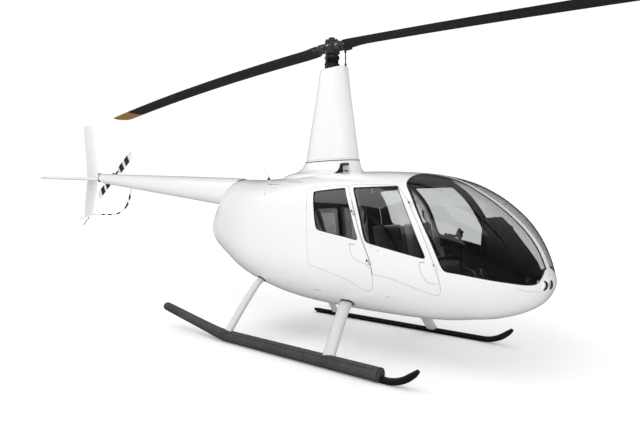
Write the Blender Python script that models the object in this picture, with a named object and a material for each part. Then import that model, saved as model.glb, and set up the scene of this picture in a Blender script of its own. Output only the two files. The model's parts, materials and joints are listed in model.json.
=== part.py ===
"""Four-seat light helicopter with a two-blade rotor, parked on its skids.

Metres, +Z up.  The nose points along +X and port is +Y.  Every table below gives stations measured
from the rotor mast; the whole machine then stands MAST_X ahead of the origin, which is the middle of
its footprint on the ground.
"""
import bpy
import bmesh
from collections import namedtuple
from math import copysign, cos, pi, radians, sin
from mathutils import Matrix, Vector

# Driving dimensions
MAST_X = 0.655
TOUCH = 0.0003            # gap that is left between pieces which touch
SKIN = 0.030              # cabin wall
DOOR_SKIN = 0.025         # door, whole
DOOR_GAP = 0.0056         # running gap round a door
FIREWALL_X = -0.12        # rear wall of the cabin
CABIN_FLOOR_Z = 0.60

ROTOR_RADIUS = 5.03
ROTOR_HUB_Z = 3.184
BLADE_PARKED = radians(-1.19)
HUB_TOP_Z = 3.28
GRIP_START, GRIP_END = 0.150, 0.300   # blade grip, from the mast

TAIL_ROTOR = Vector((-5.70, 0.375, 2.000))
TAIL_ROTOR_RADIUS = 0.7366
TAIL_BLADE_PARKED = radians(30.3)

SKID_RADIUS = 0.0265
SKID_HALF_TREAD = 0.875

RING = 32                 # points round a body section
STARBOARD, PORT = -1, 1

# Body sections, nose to tail: station, bottom, top, height of the widest line, half width,
# roundness above and below it, and how far the wall leans forward there
Section = namedtuple("Section", "x bottom top wide half upper lower lean")
SECTIONS = [Section(*row) for row in (
    (2.345, 0.788, 0.862, 0.822, 0.070, 1.9, 2.0, 1.00),
    (2.334, 0.762, 0.886, 0.820, 0.125, 1.9, 2.0, 0.97),
    (2.305, 0.706, 0.958, 0.822, 0.203, 2.0, 2.0, 0.90),
    (2.250, 0.639, 1.090, 0.843, 0.303, 2.2, 2.0, 0.80),
    (2.160, 0.580, 1.225, 0.872, 0.395, 2.7, 2.0, 0.68),
    (2.040, 0.529, 1.350, 0.898, 0.482, 3.3, 2.1, 0.55),
    (1.880, 0.484, 1.480, 0.926, 0.548, 3.7, 2.2, 0.42),
    (1.740, 0.462, 1.572, 0.948, 0.583, 3.8, 2.25, 0.33),
    (1.600, 0.438, 1.652, 0.966, 0.597, 3.5, 2.3, 0.25),
    (1.300, 0.413, 1.745, 1.000, 0.630, 3.2, 2.4, 0.10),
    (0.950, 0.405, 1.787, 1.000, 0.640, 3.3, 2.4, 0.00),
    (0.380, 0.407, 1.807, 1.000, 0.640, 3.3, 2.4, 0.00),
    (-0.120, 0.428, 1.800, 1.020, 0.635, 3.2, 2.4, 0.00),
    (-0.450, 0.460, 1.785, 1.050, 0.610, 3.0, 2.4, 0.00),
    (-0.800, 0.515, 1.775, 1.080, 0.565, 2.8, 2.3, 0.00),
    (-1.150, 0.590, 1.775, 1.120, 0.490, 2.6, 2.2, 0.00),
    (-1.450, 0.690, 1.785, 1.170, 0.405, 2.4, 2.1, 0.00),
    (-1.600, 0.760, 1.760, 1.180, 0.360, 2.3, 2.0, 0.00),
    (-1.750, 0.845, 1.620, 1.180, 0.310, 2.1, 2.0, 0.00),
    (-1.860, 0.920, 1.450, 1.175, 0.262, 2.0, 2.0, 0.00),
    (-1.895, 0.945, 1.405, 1.175, 0.230, 2.0, 2.0, 0.00),
)]

# The seam between a front and a rear door (station, height), from the roof down
DOOR_SEAM = [(0.640, 1.668), (0.732, 1.523), (0.781, 1.431), (0.817, 1.340), (0.850, 1.250), (0.886, 1.165),
             (0.922, 1.090), (0.952, 1.025), (0.976, 0.968), (0.990, 0.897), (0.992, 0.852)]


def beside_seam(shift):
    return [(x + shift, z) for x, z in DOOR_SEAM]


# Side outlines (station, height)
FRONT_DOOR = [(1.185, 1.652), (1.345, 1.505), (1.470, 1.300), (1.565, 1.090), (1.630, 0.930), (1.655, 0.800),
              (1.640, 0.735), (1.590, 0.715), (1.400, 0.772), (1.150, 0.845), (1.040, 0.850)]
FRONT_DOOR += beside_seam(0.0015)[::-1]
REAR_DOOR = [(0.125, 1.645), (0.400, 1.662)] + beside_seam(-0.0015)
REAR_DOOR += [(0.992, 0.800), (0.980, 0.745), (0.955, 0.705), (0.915, 0.685), (0.840, 0.698), (0.780, 0.733),
              (0.640, 0.790), (0.400, 0.850), (0.205, 0.885), (0.195, 1.100), (0.185, 1.380)]
FRONT_WINDOW = [(0.703, 1.641), (1.180, 1.644), (1.199, 1.624), (1.283, 1.518), (1.346, 1.416), (1.398, 1.320),
                (1.447, 1.216), (1.494, 1.117), (1.529, 1.040), (1.512, 1.026), (1.432, 1.041), (1.293, 1.069),
                (1.140, 1.099), (0.957, 1.133), (0.925, 1.150), (0.908, 1.180), (0.886, 1.251), (0.860, 1.341),
                (0.825, 1.431), (0.779, 1.522)]
REAR_WINDOW = [(0.213, 1.610), (0.292, 1.620), (0.482, 1.633), (0.600, 1.641), (0.616, 1.630), (0.684, 1.523),
               (0.735, 1.431), (0.772, 1.339), (0.807, 1.249), (0.835, 1.180), (0.833, 1.163), (0.817, 1.156),
               (0.689, 1.178), (0.501, 1.208), (0.371, 1.228), (0.330, 1.240), (0.313, 1.262), (0.293, 1.331),
               (0.271, 1.428), (0.241, 1.526)]
WINDSHIELD = [(1.215, 1.900), (1.228, 1.680), (1.340, 1.561), (1.405, 1.466), (1.460, 1.374), (1.515, 1.276),
              (1.564, 1.186), (1.608, 1.093), (1.649, 1.000), (1.678, 0.948), (1.700, 0.932), (1.730, 0.927),
              (1.821, 0.917), (1.932, 0.899), (2.038, 0.880), (2.160, 0.857), (2.235, 0.841), (2.275, 0.835),
              (2.299, 0.840), (2.311, 0.860), (2.316, 0.895), (2.312, 0.925), (2.306, 0.958), (2.450, 0.970),
              (2.450, 1.900)]

# Hinge lines of the starboard doors: a low and a high point on each
FRONT_HINGE = (Vector((1.630, -0.612, 0.950)), Vector((1.352, -0.580, 1.509)))
REAR_HINGE = (Vector((0.970, -0.663, 0.950)), Vector((0.770, -0.641, 1.430)))
FRONT_BRACKET = Vector((0.022, 0.042, 0.0))   # pin line to windshield pillar
REAR_BRACKET = Vector((0.004, 0.070, 0.0))    # pin line to door post
FRONT_DOOR_ARM = Vector((-0.040, 0.030, 0.0))
REAR_DOOR_ARM = Vector((-0.026, 0.036, 0.0))


def material(name, colour, roughness=0.4, metallic=0.0, transmission=0.0):
    made = bpy.data.materials.new(name)
    made.use_nodes = True
    surface = made.node_tree.nodes["Principled BSDF"]
    surface.inputs["Base Color"].default_value = (*colour, 1.0)
    surface.inputs["Roughness"].default_value = roughness
    surface.inputs["Metallic"].default_value = metallic
    surface.inputs["Transmission Weight"].default_value = transmission
    return made


def white_paint(name):
    return material(name, (0.90, 0.90, 0.90), 0.22)


def black_paint(name):
    return material(name, (0.015, 0.015, 0.016), 0.45)


def clear_plastic(name):
    return material(name, (0.75, 0.80, 0.82), 0.03, transmission=0.9)


def grey_leather(name):
    return material(name, (0.16, 0.165, 0.17), 0.55)


def bare_metal(name):
    return material(name, (0.55, 0.56, 0.57), 0.35, 1.0)


def new_object(name, bm, finish, parent=None):
    """Makes the mesh an object of its own, at the mast's foot or under the given parent."""
    bmesh.ops.recalc_face_normals(bm, faces=bm.faces)
    mesh = bpy.data.meshes.new(name)
    bm.to_mesh(mesh)
    bm.free()
    mesh.materials.append(finish(name))
    made = bpy.data.objects.new(name, mesh)
    bpy.context.scene.collection.objects.link(made)
    made.parent = parent or AIRFRAME
    return made


def smooth(made, degrees=32):
    made.data.shade_smooth()
    made.data.set_sharp_from_angle(angle=radians(degrees))
    return made


def bridge_rings(bm, rings):
    """Joins closed rings of points in order and caps both ends."""
    loops = [[bm.verts.new(p) for p in ring] for ring in rings]
    for first, second in zip(loops, loops[1:]):
        for i in range(len(first)):
            j = (i + 1) % len(first)
            bm.faces.new((first[i], first[j], second[j], second[i]))
    bm.faces.new(loops[0])
    bm.faces.new(reversed(loops[-1]))
    return bm


def section_ring(section, inset):
    """Points round one body section, moved in by the inset."""
    forward = inset * section.lean
    inward = inset * (1.0 - section.lean ** 2) ** 0.5
    ring = []
    for i in range(RING):
        angle = 2 * pi * (i + 0.5) / RING
        power, reach = ((section.upper, section.top - section.wide) if sin(angle) > 0
                        else (section.lower, section.wide - section.bottom))
        y = (section.half - inward) * copysign(abs(cos(angle)) ** (2 / power), cos(angle))
        z = section.wide + (reach - inward) * copysign(abs(sin(angle)) ** (2 / power), sin(angle))
        ring.append(Vector((section.x - forward, y, z)))
    return ring


def body_solid(inset, tail_x, nose_x=10.0):
    """The closed body between two stations, its skin moved in by the inset."""
    bm = bmesh.new()
    sections = [s for s in SECTIONS if tail_x - 1e-6 <= s.x <= nose_x + 1e-6]
    rings = [section_ring(s, inset) for s in sections]
    if tail_x < sections[-1].x - 1e-4:
        rings.append([Vector((tail_x, p.y, p.z)) for p in rings[-1]])
    return bridge_rings(bm, rings)


def prism(outline, near_y, far_y):
    """A side outline (station, height) carried across from near_y to far_y."""
    bm = bmesh.new()
    return bridge_rings(bm, [[Vector((x, y, z)) for x, z in outline] for y in (near_y, far_y)])


def block(low, high):
    bm = bmesh.new()
    bmesh.ops.create_cube(bm, size=1.0)
    size = Vector(high) - Vector(low)
    bmesh.ops.scale(bm, vec=size, verts=bm.verts)
    bmesh.ops.translate(bm, vec=(Vector(high) + Vector(low)) / 2, verts=bm.verts)
    return bm


def rounded_block(low, high, radius, segments=2):
    bm = block(low, high)
    bmesh.ops.bevel(bm, geom=bm.edges[:], offset=radius, segments=segments, profile=0.5, affect='EDGES')
    return bm


def frame_along(direction, side=Vector((0, 0, 1))):
    """Two directions square to the one given."""
    direction = Vector(direction).normalized()
    if abs(direction.dot(side)) > 0.95:
        side = Vector((1, 0, 0))
    across = direction.cross(side).normalized()
    return across, across.cross(direction).normalized()


def swept(points, half_width, half_height=None, sides=12, side=Vector((0, 0, 1))):
    """A bar of elliptical section along the points, widths given once or for each point."""
    points = [Vector(p) for p in points]
    half_height = half_width if half_height is None else half_height
    widths = half_width if isinstance(half_width, (list, tuple)) else [half_width] * len(points)
    heights = half_height if isinstance(half_height, (list, tuple)) else [half_height] * len(points)
    rings = []
    for i, point in enumerate(points):
        before = (point - points[i - 1]).normalized() if i else (points[1] - point).normalized()
        after = (points[i + 1] - point).normalized() if i + 1 < len(points) else before
        across, upward = frame_along(before + after, side)
        stretch = 1.0 / max(0.5, (before.dot((before + after).normalized())))
        rings.append([point + across * widths[i] * cos(2 * pi * k / sides)
                      + upward * heights[i] * stretch * sin(2 * pi * k / sides) for k in range(sides)])
    return bridge_rings(bmesh.new(), rings)


def turned(profile, axis_point, axis, sides=24):
    """Rings of (radius, distance along the axis), capped at both ends."""
    axis = Vector(axis).normalized()
    across, upward = frame_along(axis)
    rings = [[Vector(axis_point) + axis * along + (across * cos(2 * pi * k / sides)
              + upward * sin(2 * pi * k / sides)) * radius for k in range(sides)] for radius, along in profile]
    return bridge_rings(bmesh.new(), rings)


def washer(outer, bore, z_low, z_high, sides=32):
    """A ring round the mast."""
    bm = bmesh.new()
    loops = []
    for radius, z in ((outer, z_low), (outer, z_high), (bore, z_high), (bore, z_low)):
        loops.append([bm.verts.new((radius * cos(2 * pi * k / sides), radius * sin(2 * pi * k / sides), z))
                      for k in range(sides)])
    for first, second in zip(loops, loops[1:] + loops[:1]):
        for i in range(sides):
            j = (i + 1) % sides
            bm.faces.new((first[i], first[j], second[j], second[i]))
    return bm


def add_shape(bm, other):
    """Copies a second closed shape into the first."""
    mesh = bpy.data.meshes.new("shape")
    other.to_mesh(mesh)
    other.free()
    bm.from_mesh(mesh)
    bpy.data.meshes.remove(mesh)
    return bm


def prepared_for_cut(bm):
    """Normals outward and no face that is bent."""
    bmesh.ops.recalc_face_normals(bm, faces=bm.faces)
    bmesh.ops.triangulate(bm, faces=[f for f in bm.faces if len(f.verts) == 4])


def combined(bm, *steps):
    """Runs boolean steps, ('UNION' | 'DIFFERENCE' | 'INTERSECT', shape), and returns the result."""
    work = bpy.data.objects.new("work", bpy.data.meshes.new("work"))
    bpy.context.scene.collection.objects.link(work)
    prepared_for_cut(bm)
    bm.to_mesh(work.data)
    bm.free()
    for operation, shape in steps:
        tool = bpy.data.objects.new("tool", bpy.data.meshes.new("tool"))
        bpy.context.scene.collection.objects.link(tool)
        prepared_for_cut(shape)
        shape.to_mesh(tool.data)
        shape.free()
        cut = work.modifiers.new("cut", 'BOOLEAN')
        cut.operation = operation
        cut.object = tool
        cut.solver = 'EXACT'
        bpy.context.view_layer.update()
        result = bpy.data.meshes.new_from_object(work.evaluated_get(bpy.context.evaluated_depsgraph_get()))
        work.modifiers.clear()
        work.data = result
        bpy.data.objects.remove(tool)
    made = bmesh.new()
    made.from_mesh(work.data)
    bpy.data.objects.remove(work)
    bmesh.ops.remove_doubles(made, verts=made.verts, dist=1e-5)
    return made


def outline_offset(outline, distance):
    """The outline grown by the distance (shrunk where it is negative), corner by corner."""
    points = [Vector(p) for p in outline]
    turn = sum(points[i - 1].x * points[i].y - points[i].x * points[i - 1].y for i in range(len(points)))
    outward = 1.0 if turn < 0 else -1.0
    moved = []
    for i, point in enumerate(points):
        before = (point - points[i - 1]).normalized()
        after = (points[(i + 1) % len(points)] - point).normalized()
        normals = [Vector((-d.y, d.x)) * outward for d in (before, after)]
        middle = (normals[0] + normals[1]).normalized()
        moved.append(tuple(point + middle * distance / max(0.6, middle.dot(normals[0]))))
    return moved


def mirrored(bm):
    """The same shape on the port side."""
    bmesh.ops.scale(bm, vec=(1, -1, 1), verts=bm.verts)
    return bm


def on_side(bm, side):
    return mirrored(bm) if side == PORT else bm


def side_name(side):
    return "starboard" if side == STARBOARD else "port"


def mirrored_point(point, side):
    return Vector((point[0], point[1] * (1 if side == STARBOARD else -1), point[2]))


def joint_empty(name, place):
    """An empty on a joint's axis, which carries the moving pieces."""
    made = bpy.data.objects.new(name, None)
    made.location = place
    made.parent = AIRFRAME
    bpy.context.scene.collection.objects.link(made)
    bpy.context.view_layer.update()
    return made


def moved_to(bm, place):
    bmesh.ops.translate(bm, vec=-Vector(place), verts=bm.verts)
    return bm


CrossTube = namedtuple("CrossTube", "name foot_x top_x leg half_chord half_thick")
CROSS_TUBES = (
    CrossTube("front", 0.683, 0.510, ((0.600, 0.424), (0.480, 0.515), (0.420, 0.535), (0.330, 0.536)), 0.059, 0.030),
    CrossTube("rear", -0.768, -0.735, ((0.668, 0.395), (0.536, 0.528), (0.455, 0.607), (0.370, 0.645), (0.270, 0.655)),
              0.037, 0.028))
FOOT_RISE = 0.035         # upright part of a cross tube's foot
FOOT_BEND = 0.040         # how far the foot leans in over the next rise


def cross_tube(row, grow):
    """One arch from skid to skid, through the belly."""
    points = []
    bend_y = SKID_HALF_TREAD - FOOT_BEND
    top_y = row.leg[-1][0]
    for side in (STARBOARD, PORT):
        foot_z = 0.1285 if side == STARBOARD else 2 * SKID_RADIUS + TOUCH
        half = [(row.foot_x, side * SKID_HALF_TREAD, foot_z - grow),
                (row.foot_x, side * SKID_HALF_TREAD, foot_z + FOOT_RISE),
                (row.foot_x - 0.01, side * bend_y, foot_z + 0.09)]
        for y, z in row.leg:
            share = (bend_y - y) / (bend_y - top_y)
            half.append((row.foot_x - 0.01 + (row.top_x - row.foot_x + 0.01) * share, side * y, z))
        points += half if side == STARBOARD else half[::-1]
    return swept(points, row.half_thick + grow, row.half_chord + grow, sides=14, side=Vector((1, 0, 0)))


# Cabin

def cabin_wall():
    return combined(body_solid(0.0, FIREWALL_X),
                    ('DIFFERENCE', body_solid(SKIN, FIREWALL_X - 0.02)))


LANDING_LIGHTS = (("outer", -0.125, 0.822), ("inner", -0.035, 0.818))
LAMP_RADIUS = 0.039
LAMP_BACK_X = 2.262


def lamp_barrel(y, z, grow):
    return turned([(LAMP_RADIUS + grow, 0.0), (LAMP_RADIUS + grow, 0.12)], (LAMP_BACK_X - grow, y, z), (1, 0, 0))


def build_landing_lights():
    for name, y, z in LANDING_LIGHTS:
        lamp = combined(lamp_barrel(y, z, 0.0), ('INTERSECT', body_solid(0.006, FIREWALL_X)))
        smooth(new_object("landing_light_" + name, lamp, clear_plastic))


def build_cabin():
    """Lower body and roof: the cabin wall less the door openings and the windshield's."""
    door_opening = [('DIFFERENCE', prism(outline, -0.9, 0.9)) for outline in (FRONT_DOOR, REAR_DOOR)]
    between_doors = prism(beside_seam(0.006)[1:] + beside_seam(-0.006)[:0:-1], -0.9, 0.9)
    wall = combined(cabin_wall(), *door_opening, ('DIFFERENCE', between_doors),
                    ('DIFFERENCE', prism(WINDSHIELD, -0.9, 0.9)))
    roof_edge = [(-0.30, 2.0), (-0.30, 1.70), (0.100, 1.70), (0.100, 0.95), (1.90, 0.95), (1.90, 2.0)]
    tubes = [('DIFFERENCE', cross_tube(row, 3 * TOUCH)) for row in CROSS_TUBES]
    lamps = [('DIFFERENCE', lamp_barrel(y, z, TOUCH)) for name, y, z in LANDING_LIGHTS]
    lower = combined(wall.copy(), ('DIFFERENCE', prism(roof_edge, -1, 1)), *tubes, *lamps)
    roof = combined(wall, ('INTERSECT', prism(outline_offset(roof_edge, -TOUCH), -1, 1)))
    brackets = [bracket for side in (STARBOARD, PORT) for bracket in hinge_brackets(FRONT_HINGE, FRONT_BRACKET, side)]
    roof = combined(roof, *[('UNION', bracket) for bracket in brackets])
    smooth(new_object("lower_fuselage", lower, white_paint))
    smooth(new_object("cabin_roof", roof, white_paint))


def build_posts():
    """The post behind the gap between the front and the rear door, on each side."""
    outline = ([(0.640, 1.730)] + beside_seam(0.032) + [(1.010, 0.780), (0.990, 0.660), (0.930, 0.660), (0.940, 0.780)]
               + beside_seam(-0.036)[::-1] + [(0.560, 1.730)])
    for side in (STARBOARD, PORT):
        wall = combined(body_solid(SKIN + TOUCH, FIREWALL_X), ('DIFFERENCE', body_solid(SKIN + 0.032, FIREWALL_X - 0.02)))
        low_y, high_y = (-0.9, -0.3) if side == STARBOARD else (0.3, 0.9)
        brackets = [('UNION', bracket) for bracket in hinge_brackets(REAR_HINGE, REAR_BRACKET, side)]
        post = combined(wall, ('INTERSECT', prism(outline, low_y, high_y)), *brackets)
        smooth(new_object("door_post_" + side_name(side), post, black_paint))


def build_windshield():
    """Two clear halves either side of the centre strip."""
    glass = combined(body_solid(0.002, FIREWALL_X), ('DIFFERENCE', body_solid(0.008, FIREWALL_X - 0.02)))
    pane = prism(outline_offset(WINDSHIELD, -TOUCH), -1, 1)
    glass = combined(glass, ('INTERSECT', pane))
    strip_half = 0.032
    for side in (STARBOARD, PORT):
        near, far = sorted((side * (strip_half + TOUCH), side * 1.0))
        half = combined(glass.copy(), ('INTERSECT', block((1.0, near, 0.5), (2.6, far, 2.0))))
        smooth(new_object("windshield_" + side_name(side), half, clear_plastic))
    glass.free()
    strip = combined(body_solid(0.0, FIREWALL_X), ('DIFFERENCE', body_solid(0.014, FIREWALL_X - 0.02)))
    strip = combined(strip, ('INTERSECT', prism(outline_offset(WINDSHIELD, -TOUCH), -strip_half, strip_half)))
    smooth(new_object("windshield_centre_strip", strip, white_paint))


def door_shape(outline, side):
    skin = combined(body_solid(0.0, FIREWALL_X), ('DIFFERENCE', body_solid(DOOR_SKIN, FIREWALL_X - 0.02)))
    low_y, high_y = (-0.9, -0.2) if side == STARBOARD else (0.2, 0.9)
    return combined(skin, ('INTERSECT', prism(outline_offset(outline, -DOOR_GAP), low_y, high_y)))


def pane_shape(outline, side):
    skin = combined(body_solid(0.006, FIREWALL_X), ('DIFFERENCE', body_solid(0.011, FIREWALL_X - 0.02)))
    low_y, high_y = (-0.9, -0.2) if side == STARBOARD else (0.2, 0.9)
    return combined(skin, ('INTERSECT', prism(outline_offset(outline, -TOUCH), low_y, high_y)))


def hinge_points(hinge):
    """Where the two knuckle pairs of a hinge line stand."""
    low, high = hinge
    return [low + (high - low) * share for share in (0.04, 0.96)]


def knuckle(point, axis, start, length=0.022, radius=0.007):
    return turned([(radius, start), (radius, start + length)], point, axis, sides=12)


def arm(start, end, thickness=0.006, height=0.018):
    """A flat hinge arm."""
    return swept([start, end], thickness / 2, height / 2, sides=8)


def hinge_brackets(hinge, reach, side):
    """Fixed halves of a hinge, reaching from the pin line to the pillar behind the skin."""
    axis = hinge[1] - hinge[0]
    brackets = []
    for point in hinge_points(hinge):
        lug = knuckle(point, axis, -0.022 - TOUCH)
        middle = point - axis.normalized() * 0.011
        lug = combined(lug, ('UNION', arm(middle, middle + reach, thickness=0.004)))
        brackets.append(on_side(lug, side))
    return brackets


def build_doors():
    """Four doors on slanted front hinges, each with its window."""
    rows = (("front", FRONT_DOOR, FRONT_WINDOW, FRONT_HINGE, FRONT_DOOR_ARM),
            ("rear", REAR_DOOR, REAR_WINDOW, REAR_HINGE, REAR_DOOR_ARM))
    for side in (STARBOARD, PORT):
        for place, outline, window, hinge, reach in rows:
            name = place + "_door_" + side_name(side)
            axis = hinge[1] - hinge[0]
            carrier = joint_empty(name + "_hinge", mirrored_point(hinge[0], side))
            door = combined(door_shape(outline, side), ('DIFFERENCE', prism(window, -0.9, 0.9)))
            for point in hinge_points(hinge):
                if place == "rear":
                    fixed = point - axis.normalized() * 0.011
                    notch = block(fixed + Vector((-0.0085, -0.1, -0.017)), fixed + Vector((0.04, 0.2, 0.017)))
                    door = combined(door, ('DIFFERENCE', on_side(notch, side)))
                lug = knuckle(point, axis, TOUCH)
                middle = point + axis.normalized() * 0.011
                lug = combined(lug, ('UNION', arm(middle, middle + reach)))
                door = combined(door, ('UNION', on_side(lug, side)))
            smooth(new_object(name, moved_to(door, carrier.location), white_paint, carrier))
            pane = pane_shape(window, side)
            smooth(new_object(place + "_window_" + side_name(side), moved_to(pane, carrier.location),
                              clear_plastic, carrier))


def build_interior():
    floor = combined(body_solid(SKIN + TOUCH, FIREWALL_X),
                     ('INTERSECT', block((-0.085, -0.7, CABIN_FLOOR_Z - 0.03), (2.05, 0.7, CABIN_FLOOR_Z))))
    new_object("cabin_floor", floor, black_paint)
    wall = combined(body_solid(SKIN + TOUCH, FIREWALL_X),
                    ('INTERSECT', block((FIREWALL_X + TOUCH, -0.7, 0.3), (FIREWALL_X + 0.030, 0.7, 2.0))))
    new_object("rear_bulkhead", wall, black_paint)


Seat = namedtuple("Seat", "row x_back x_front seat_z back_top_z back_lean")
SEATS = (Seat("front", 0.80, 1.36, 0.90, 1.42, 0.16), Seat("rear", -0.03, 0.50, 0.92, 1.46, 0.10))


def build_seats():
    """Box bases across the cabin, with a cushion and a back for each of the four places."""
    for seat in SEATS:
        base = block((seat.x_back + 0.06, -0.45, CABIN_FLOOR_Z + TOUCH), (seat.x_front - 0.03, 0.45, seat.seat_z - 0.10))
        new_object(seat.row + "_seat_base", base, grey_leather)
        for side in (STARBOARD, PORT):
            near, far = sorted((side * 0.035, side * 0.475))
            low_z = seat.seat_z - 0.10 + TOUCH
            height = seat.back_top_z - low_z
            cushion = rounded_block((seat.x_back + 0.065, near, low_z), (seat.x_front, far, seat.seat_z), 0.025)
            back = rounded_block((0, near, 0), (0.10, far, height), 0.025)
            for v in back.verts:
                v.co.x += seat.x_back + 0.045 - (v.co.z / height - 1.0) * seat.back_lean * 0.6
                v.co.z += low_z
            seat_shape = combined(cushion, ('UNION', back))
            new_object(f"{seat.row}_seat_{side_name(side)}", seat_shape, grey_leather)


def build_controls():
    """Instrument pod, T-bar cyclic and pedals."""
    pod = prism([(1.78, 0.66), (1.70, 1.10), (1.69, 1.33), (1.74, 1.375), (1.90, 1.355), (2.06, 1.22), (2.19, 1.00),
                 (2.23, 0.84), (2.16, 0.76), (2.02, 0.70)], -0.17, 0.17)
    bmesh.ops.bevel(pod, geom=[e for e in pod.edges if abs(e.verts[0].co.y - e.verts[1].co.y) < 1e-5],
                    offset=0.03, segments=2, profile=0.5, affect='EDGES')
    foot = block((1.82, -0.10, CABIN_FLOOR_Z + TOUCH), (1.98, 0.10, 0.75))
    new_object("instrument_pod", combined(pod, ('UNION', foot)), black_paint)
    stick = swept([(1.52, 0, CABIN_FLOOR_Z + TOUCH), (1.52, 0, 0.66), (1.50, 0, 0.86), (1.42, 0, 1.10), (1.40, 0, 1.22)], 0.014, sides=10,
                  side=Vector((0, 1, 0)))
    bar = swept([(1.41, 0.24, 1.20), (1.41, -0.24, 1.20)], 0.012, sides=10)
    stick = combined(stick, ('UNION', bar))
    for side in (STARBOARD, PORT):
        grip = swept([(1.41, side * 0.235, 1.21), (1.40, side * 0.235, 1.10)], 0.018, sides=10)
        stick = combined(stick, ('UNION', grip))
    smooth(new_object("cyclic_control", stick, black_paint))


# Aft body, mast and tail

FIN_Y = -0.095
TAILCONE_FRONT = Vector((-1.56, 0.0, 1.618))
TAILCONE_REAR = Vector((-5.48, 0.0, 1.945))
TAILCONE_FRONT_RADIUS = 0.193
TAILCONE_REAR_RADIUS = 0.078
TAILCONE_SKIN = 0.012
TAILCONE_AXIS = (TAILCONE_REAR - TAILCONE_FRONT).normalized()
TAILCONE_LENGTH = (TAILCONE_REAR - TAILCONE_FRONT).length
AFT_SKIN = 0.025
ENGINE_OPENING = ((-1.05, -0.33, 0.40), (-0.30, 0.33, 0.70))
ENGINE = ((-0.92, -0.29, 0.70), (FIREWALL_X - AFT_SKIN - 2 * TOUCH, 0.29, 1.18))
FAN_CENTRE = Vector((-1.895, 0.0, 1.175))
FAN_RADIUS = 0.185


# What is cut from the cone's lower end, where the gearbox shows (station, height)
TAILCONE_END = [(-5.300, 1.780), (-5.325, 1.868), (-5.380, 1.925), (-5.470, 1.972), (-5.600, 1.990), (-5.600, 1.780)]


def tailcone_shape(grow):
    return turned([(TAILCONE_FRONT_RADIUS + grow, -grow), (TAILCONE_REAR_RADIUS + grow, TAILCONE_LENGTH)],
                  TAILCONE_FRONT, TAILCONE_AXIS, sides=32)


# Shallow recess on the upper flank (station, height)
FLANK_RECESS = [(-0.673, 1.712), (-0.429, 1.700), (-0.384, 1.616), (-0.572, 1.564)]
RECESS_DEPTH = 0.012


def flank_recess():
    band = combined(body_solid(-0.02, -1.5), ('DIFFERENCE', body_solid(RECESS_DEPTH, -1.5)))
    return combined(band, ('INTERSECT', prism(FLANK_RECESS, -0.9, 0.9)))


def build_aft_body():
    """Shell behind the bulkhead, open below the engine and at the fan's inlet."""
    tail_x = SECTIONS[-1].x
    body = body_solid(0.0, tail_x, FIREWALL_X)
    bmesh.ops.translate(body, vec=(-TOUCH, 0, 0), verts=body.verts)
    hollow = combined(body_solid(AFT_SKIN, tail_x, FIREWALL_X),
                      ('INTERSECT', block((tail_x + AFT_SKIN, -1, 0), (FIREWALL_X - AFT_SKIN, 1, 3))))
    inlet = turned([(FAN_RADIUS + 0.008, -0.02), (FAN_RADIUS + 0.008, 0.11)], FAN_CENTRE, (1, 0, 0), sides=32)
    body = combined(body, ('DIFFERENCE', hollow), ('DIFFERENCE', tailcone_shape(TOUCH)),
                    ('DIFFERENCE', block(*ENGINE_OPENING)), ('DIFFERENCE', inlet),
                    ('DIFFERENCE', cross_tube(CROSS_TUBES[1], 3 * TOUCH)), ('DIFFERENCE', flank_recess()))
    smooth(new_object("aft_fuselage", body, white_paint))
    new_object("engine", block(*ENGINE), bare_metal)
    fan = turned([(FAN_RADIUS, 0.02), (FAN_RADIUS, 0.06), (0.05, 0.075), (0.05, 0.11), (0.02, 0.115),
                  (0.02, ENGINE[0][0] - FAN_CENTRE.x - TOUCH)], FAN_CENTRE, (1, 0, 0), sides=32)
    smooth(new_object("cooling_fan", fan, bare_metal))
    pipe_y = 0.17
    pipe = swept([(-0.87, pipe_y, ENGINE[0][2] - TOUCH), (-0.87, pipe_y, 0.65), (-0.905, pipe_y, 0.585),
                  (-0.985, pipe_y, 0.530), (-1.22, pipe_y, 0.500)], 0.028, sides=14, side=Vector((0, 1, 0)))
    smooth(new_object("exhaust_pipe", pipe, bare_metal))


# Mast fairing: height, half chord, half thickness, station of its middle
MAST_FAIRING = ((1.960, 0.345, 0.155, -0.020), (2.300, 0.286, 0.133, -0.006), (2.700, 0.214, 0.105, 0.014),
                (2.900, 0.186, 0.090, 0.022), (2.934, 0.178, 0.084, 0.026), (2.946, 0.164, 0.072, 0.027))
MAST_BASE = ((1.740, 0.560, 0.330, -0.150), (1.795, 0.520, 0.290, -0.130), (1.830, 0.440, 0.225, -0.080),
             (1.880, 0.385, 0.180, -0.040), (1.9597, 0.350, 0.158, -0.020))
# Air intake: the corner that is cut away, and the duct that runs back from it
INTAKE_CORNER = ((0.215, -0.35, 1.70), (0.60, -0.070, 1.906))
INTAKE_DUCT = ((-0.02, -0.162, 1.822), (0.22, -0.082, 1.893))
MAST_RADIUS = 0.032
MAST_BORE_Z = 2.86


def fairing_rings(rows, sides=32, power=2.3):
    rings = []
    for z, chord, thick, middle in rows:
        ring = []
        for k in range(sides):
            a = 2 * pi * k / sides
            ring.append(Vector((middle + chord * copysign(abs(cos(a)) ** (2 / power), cos(a)),
                                thick * copysign(abs(sin(a)) ** (2 / power), sin(a)), z)))
        rings.append(ring)
    return rings


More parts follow.
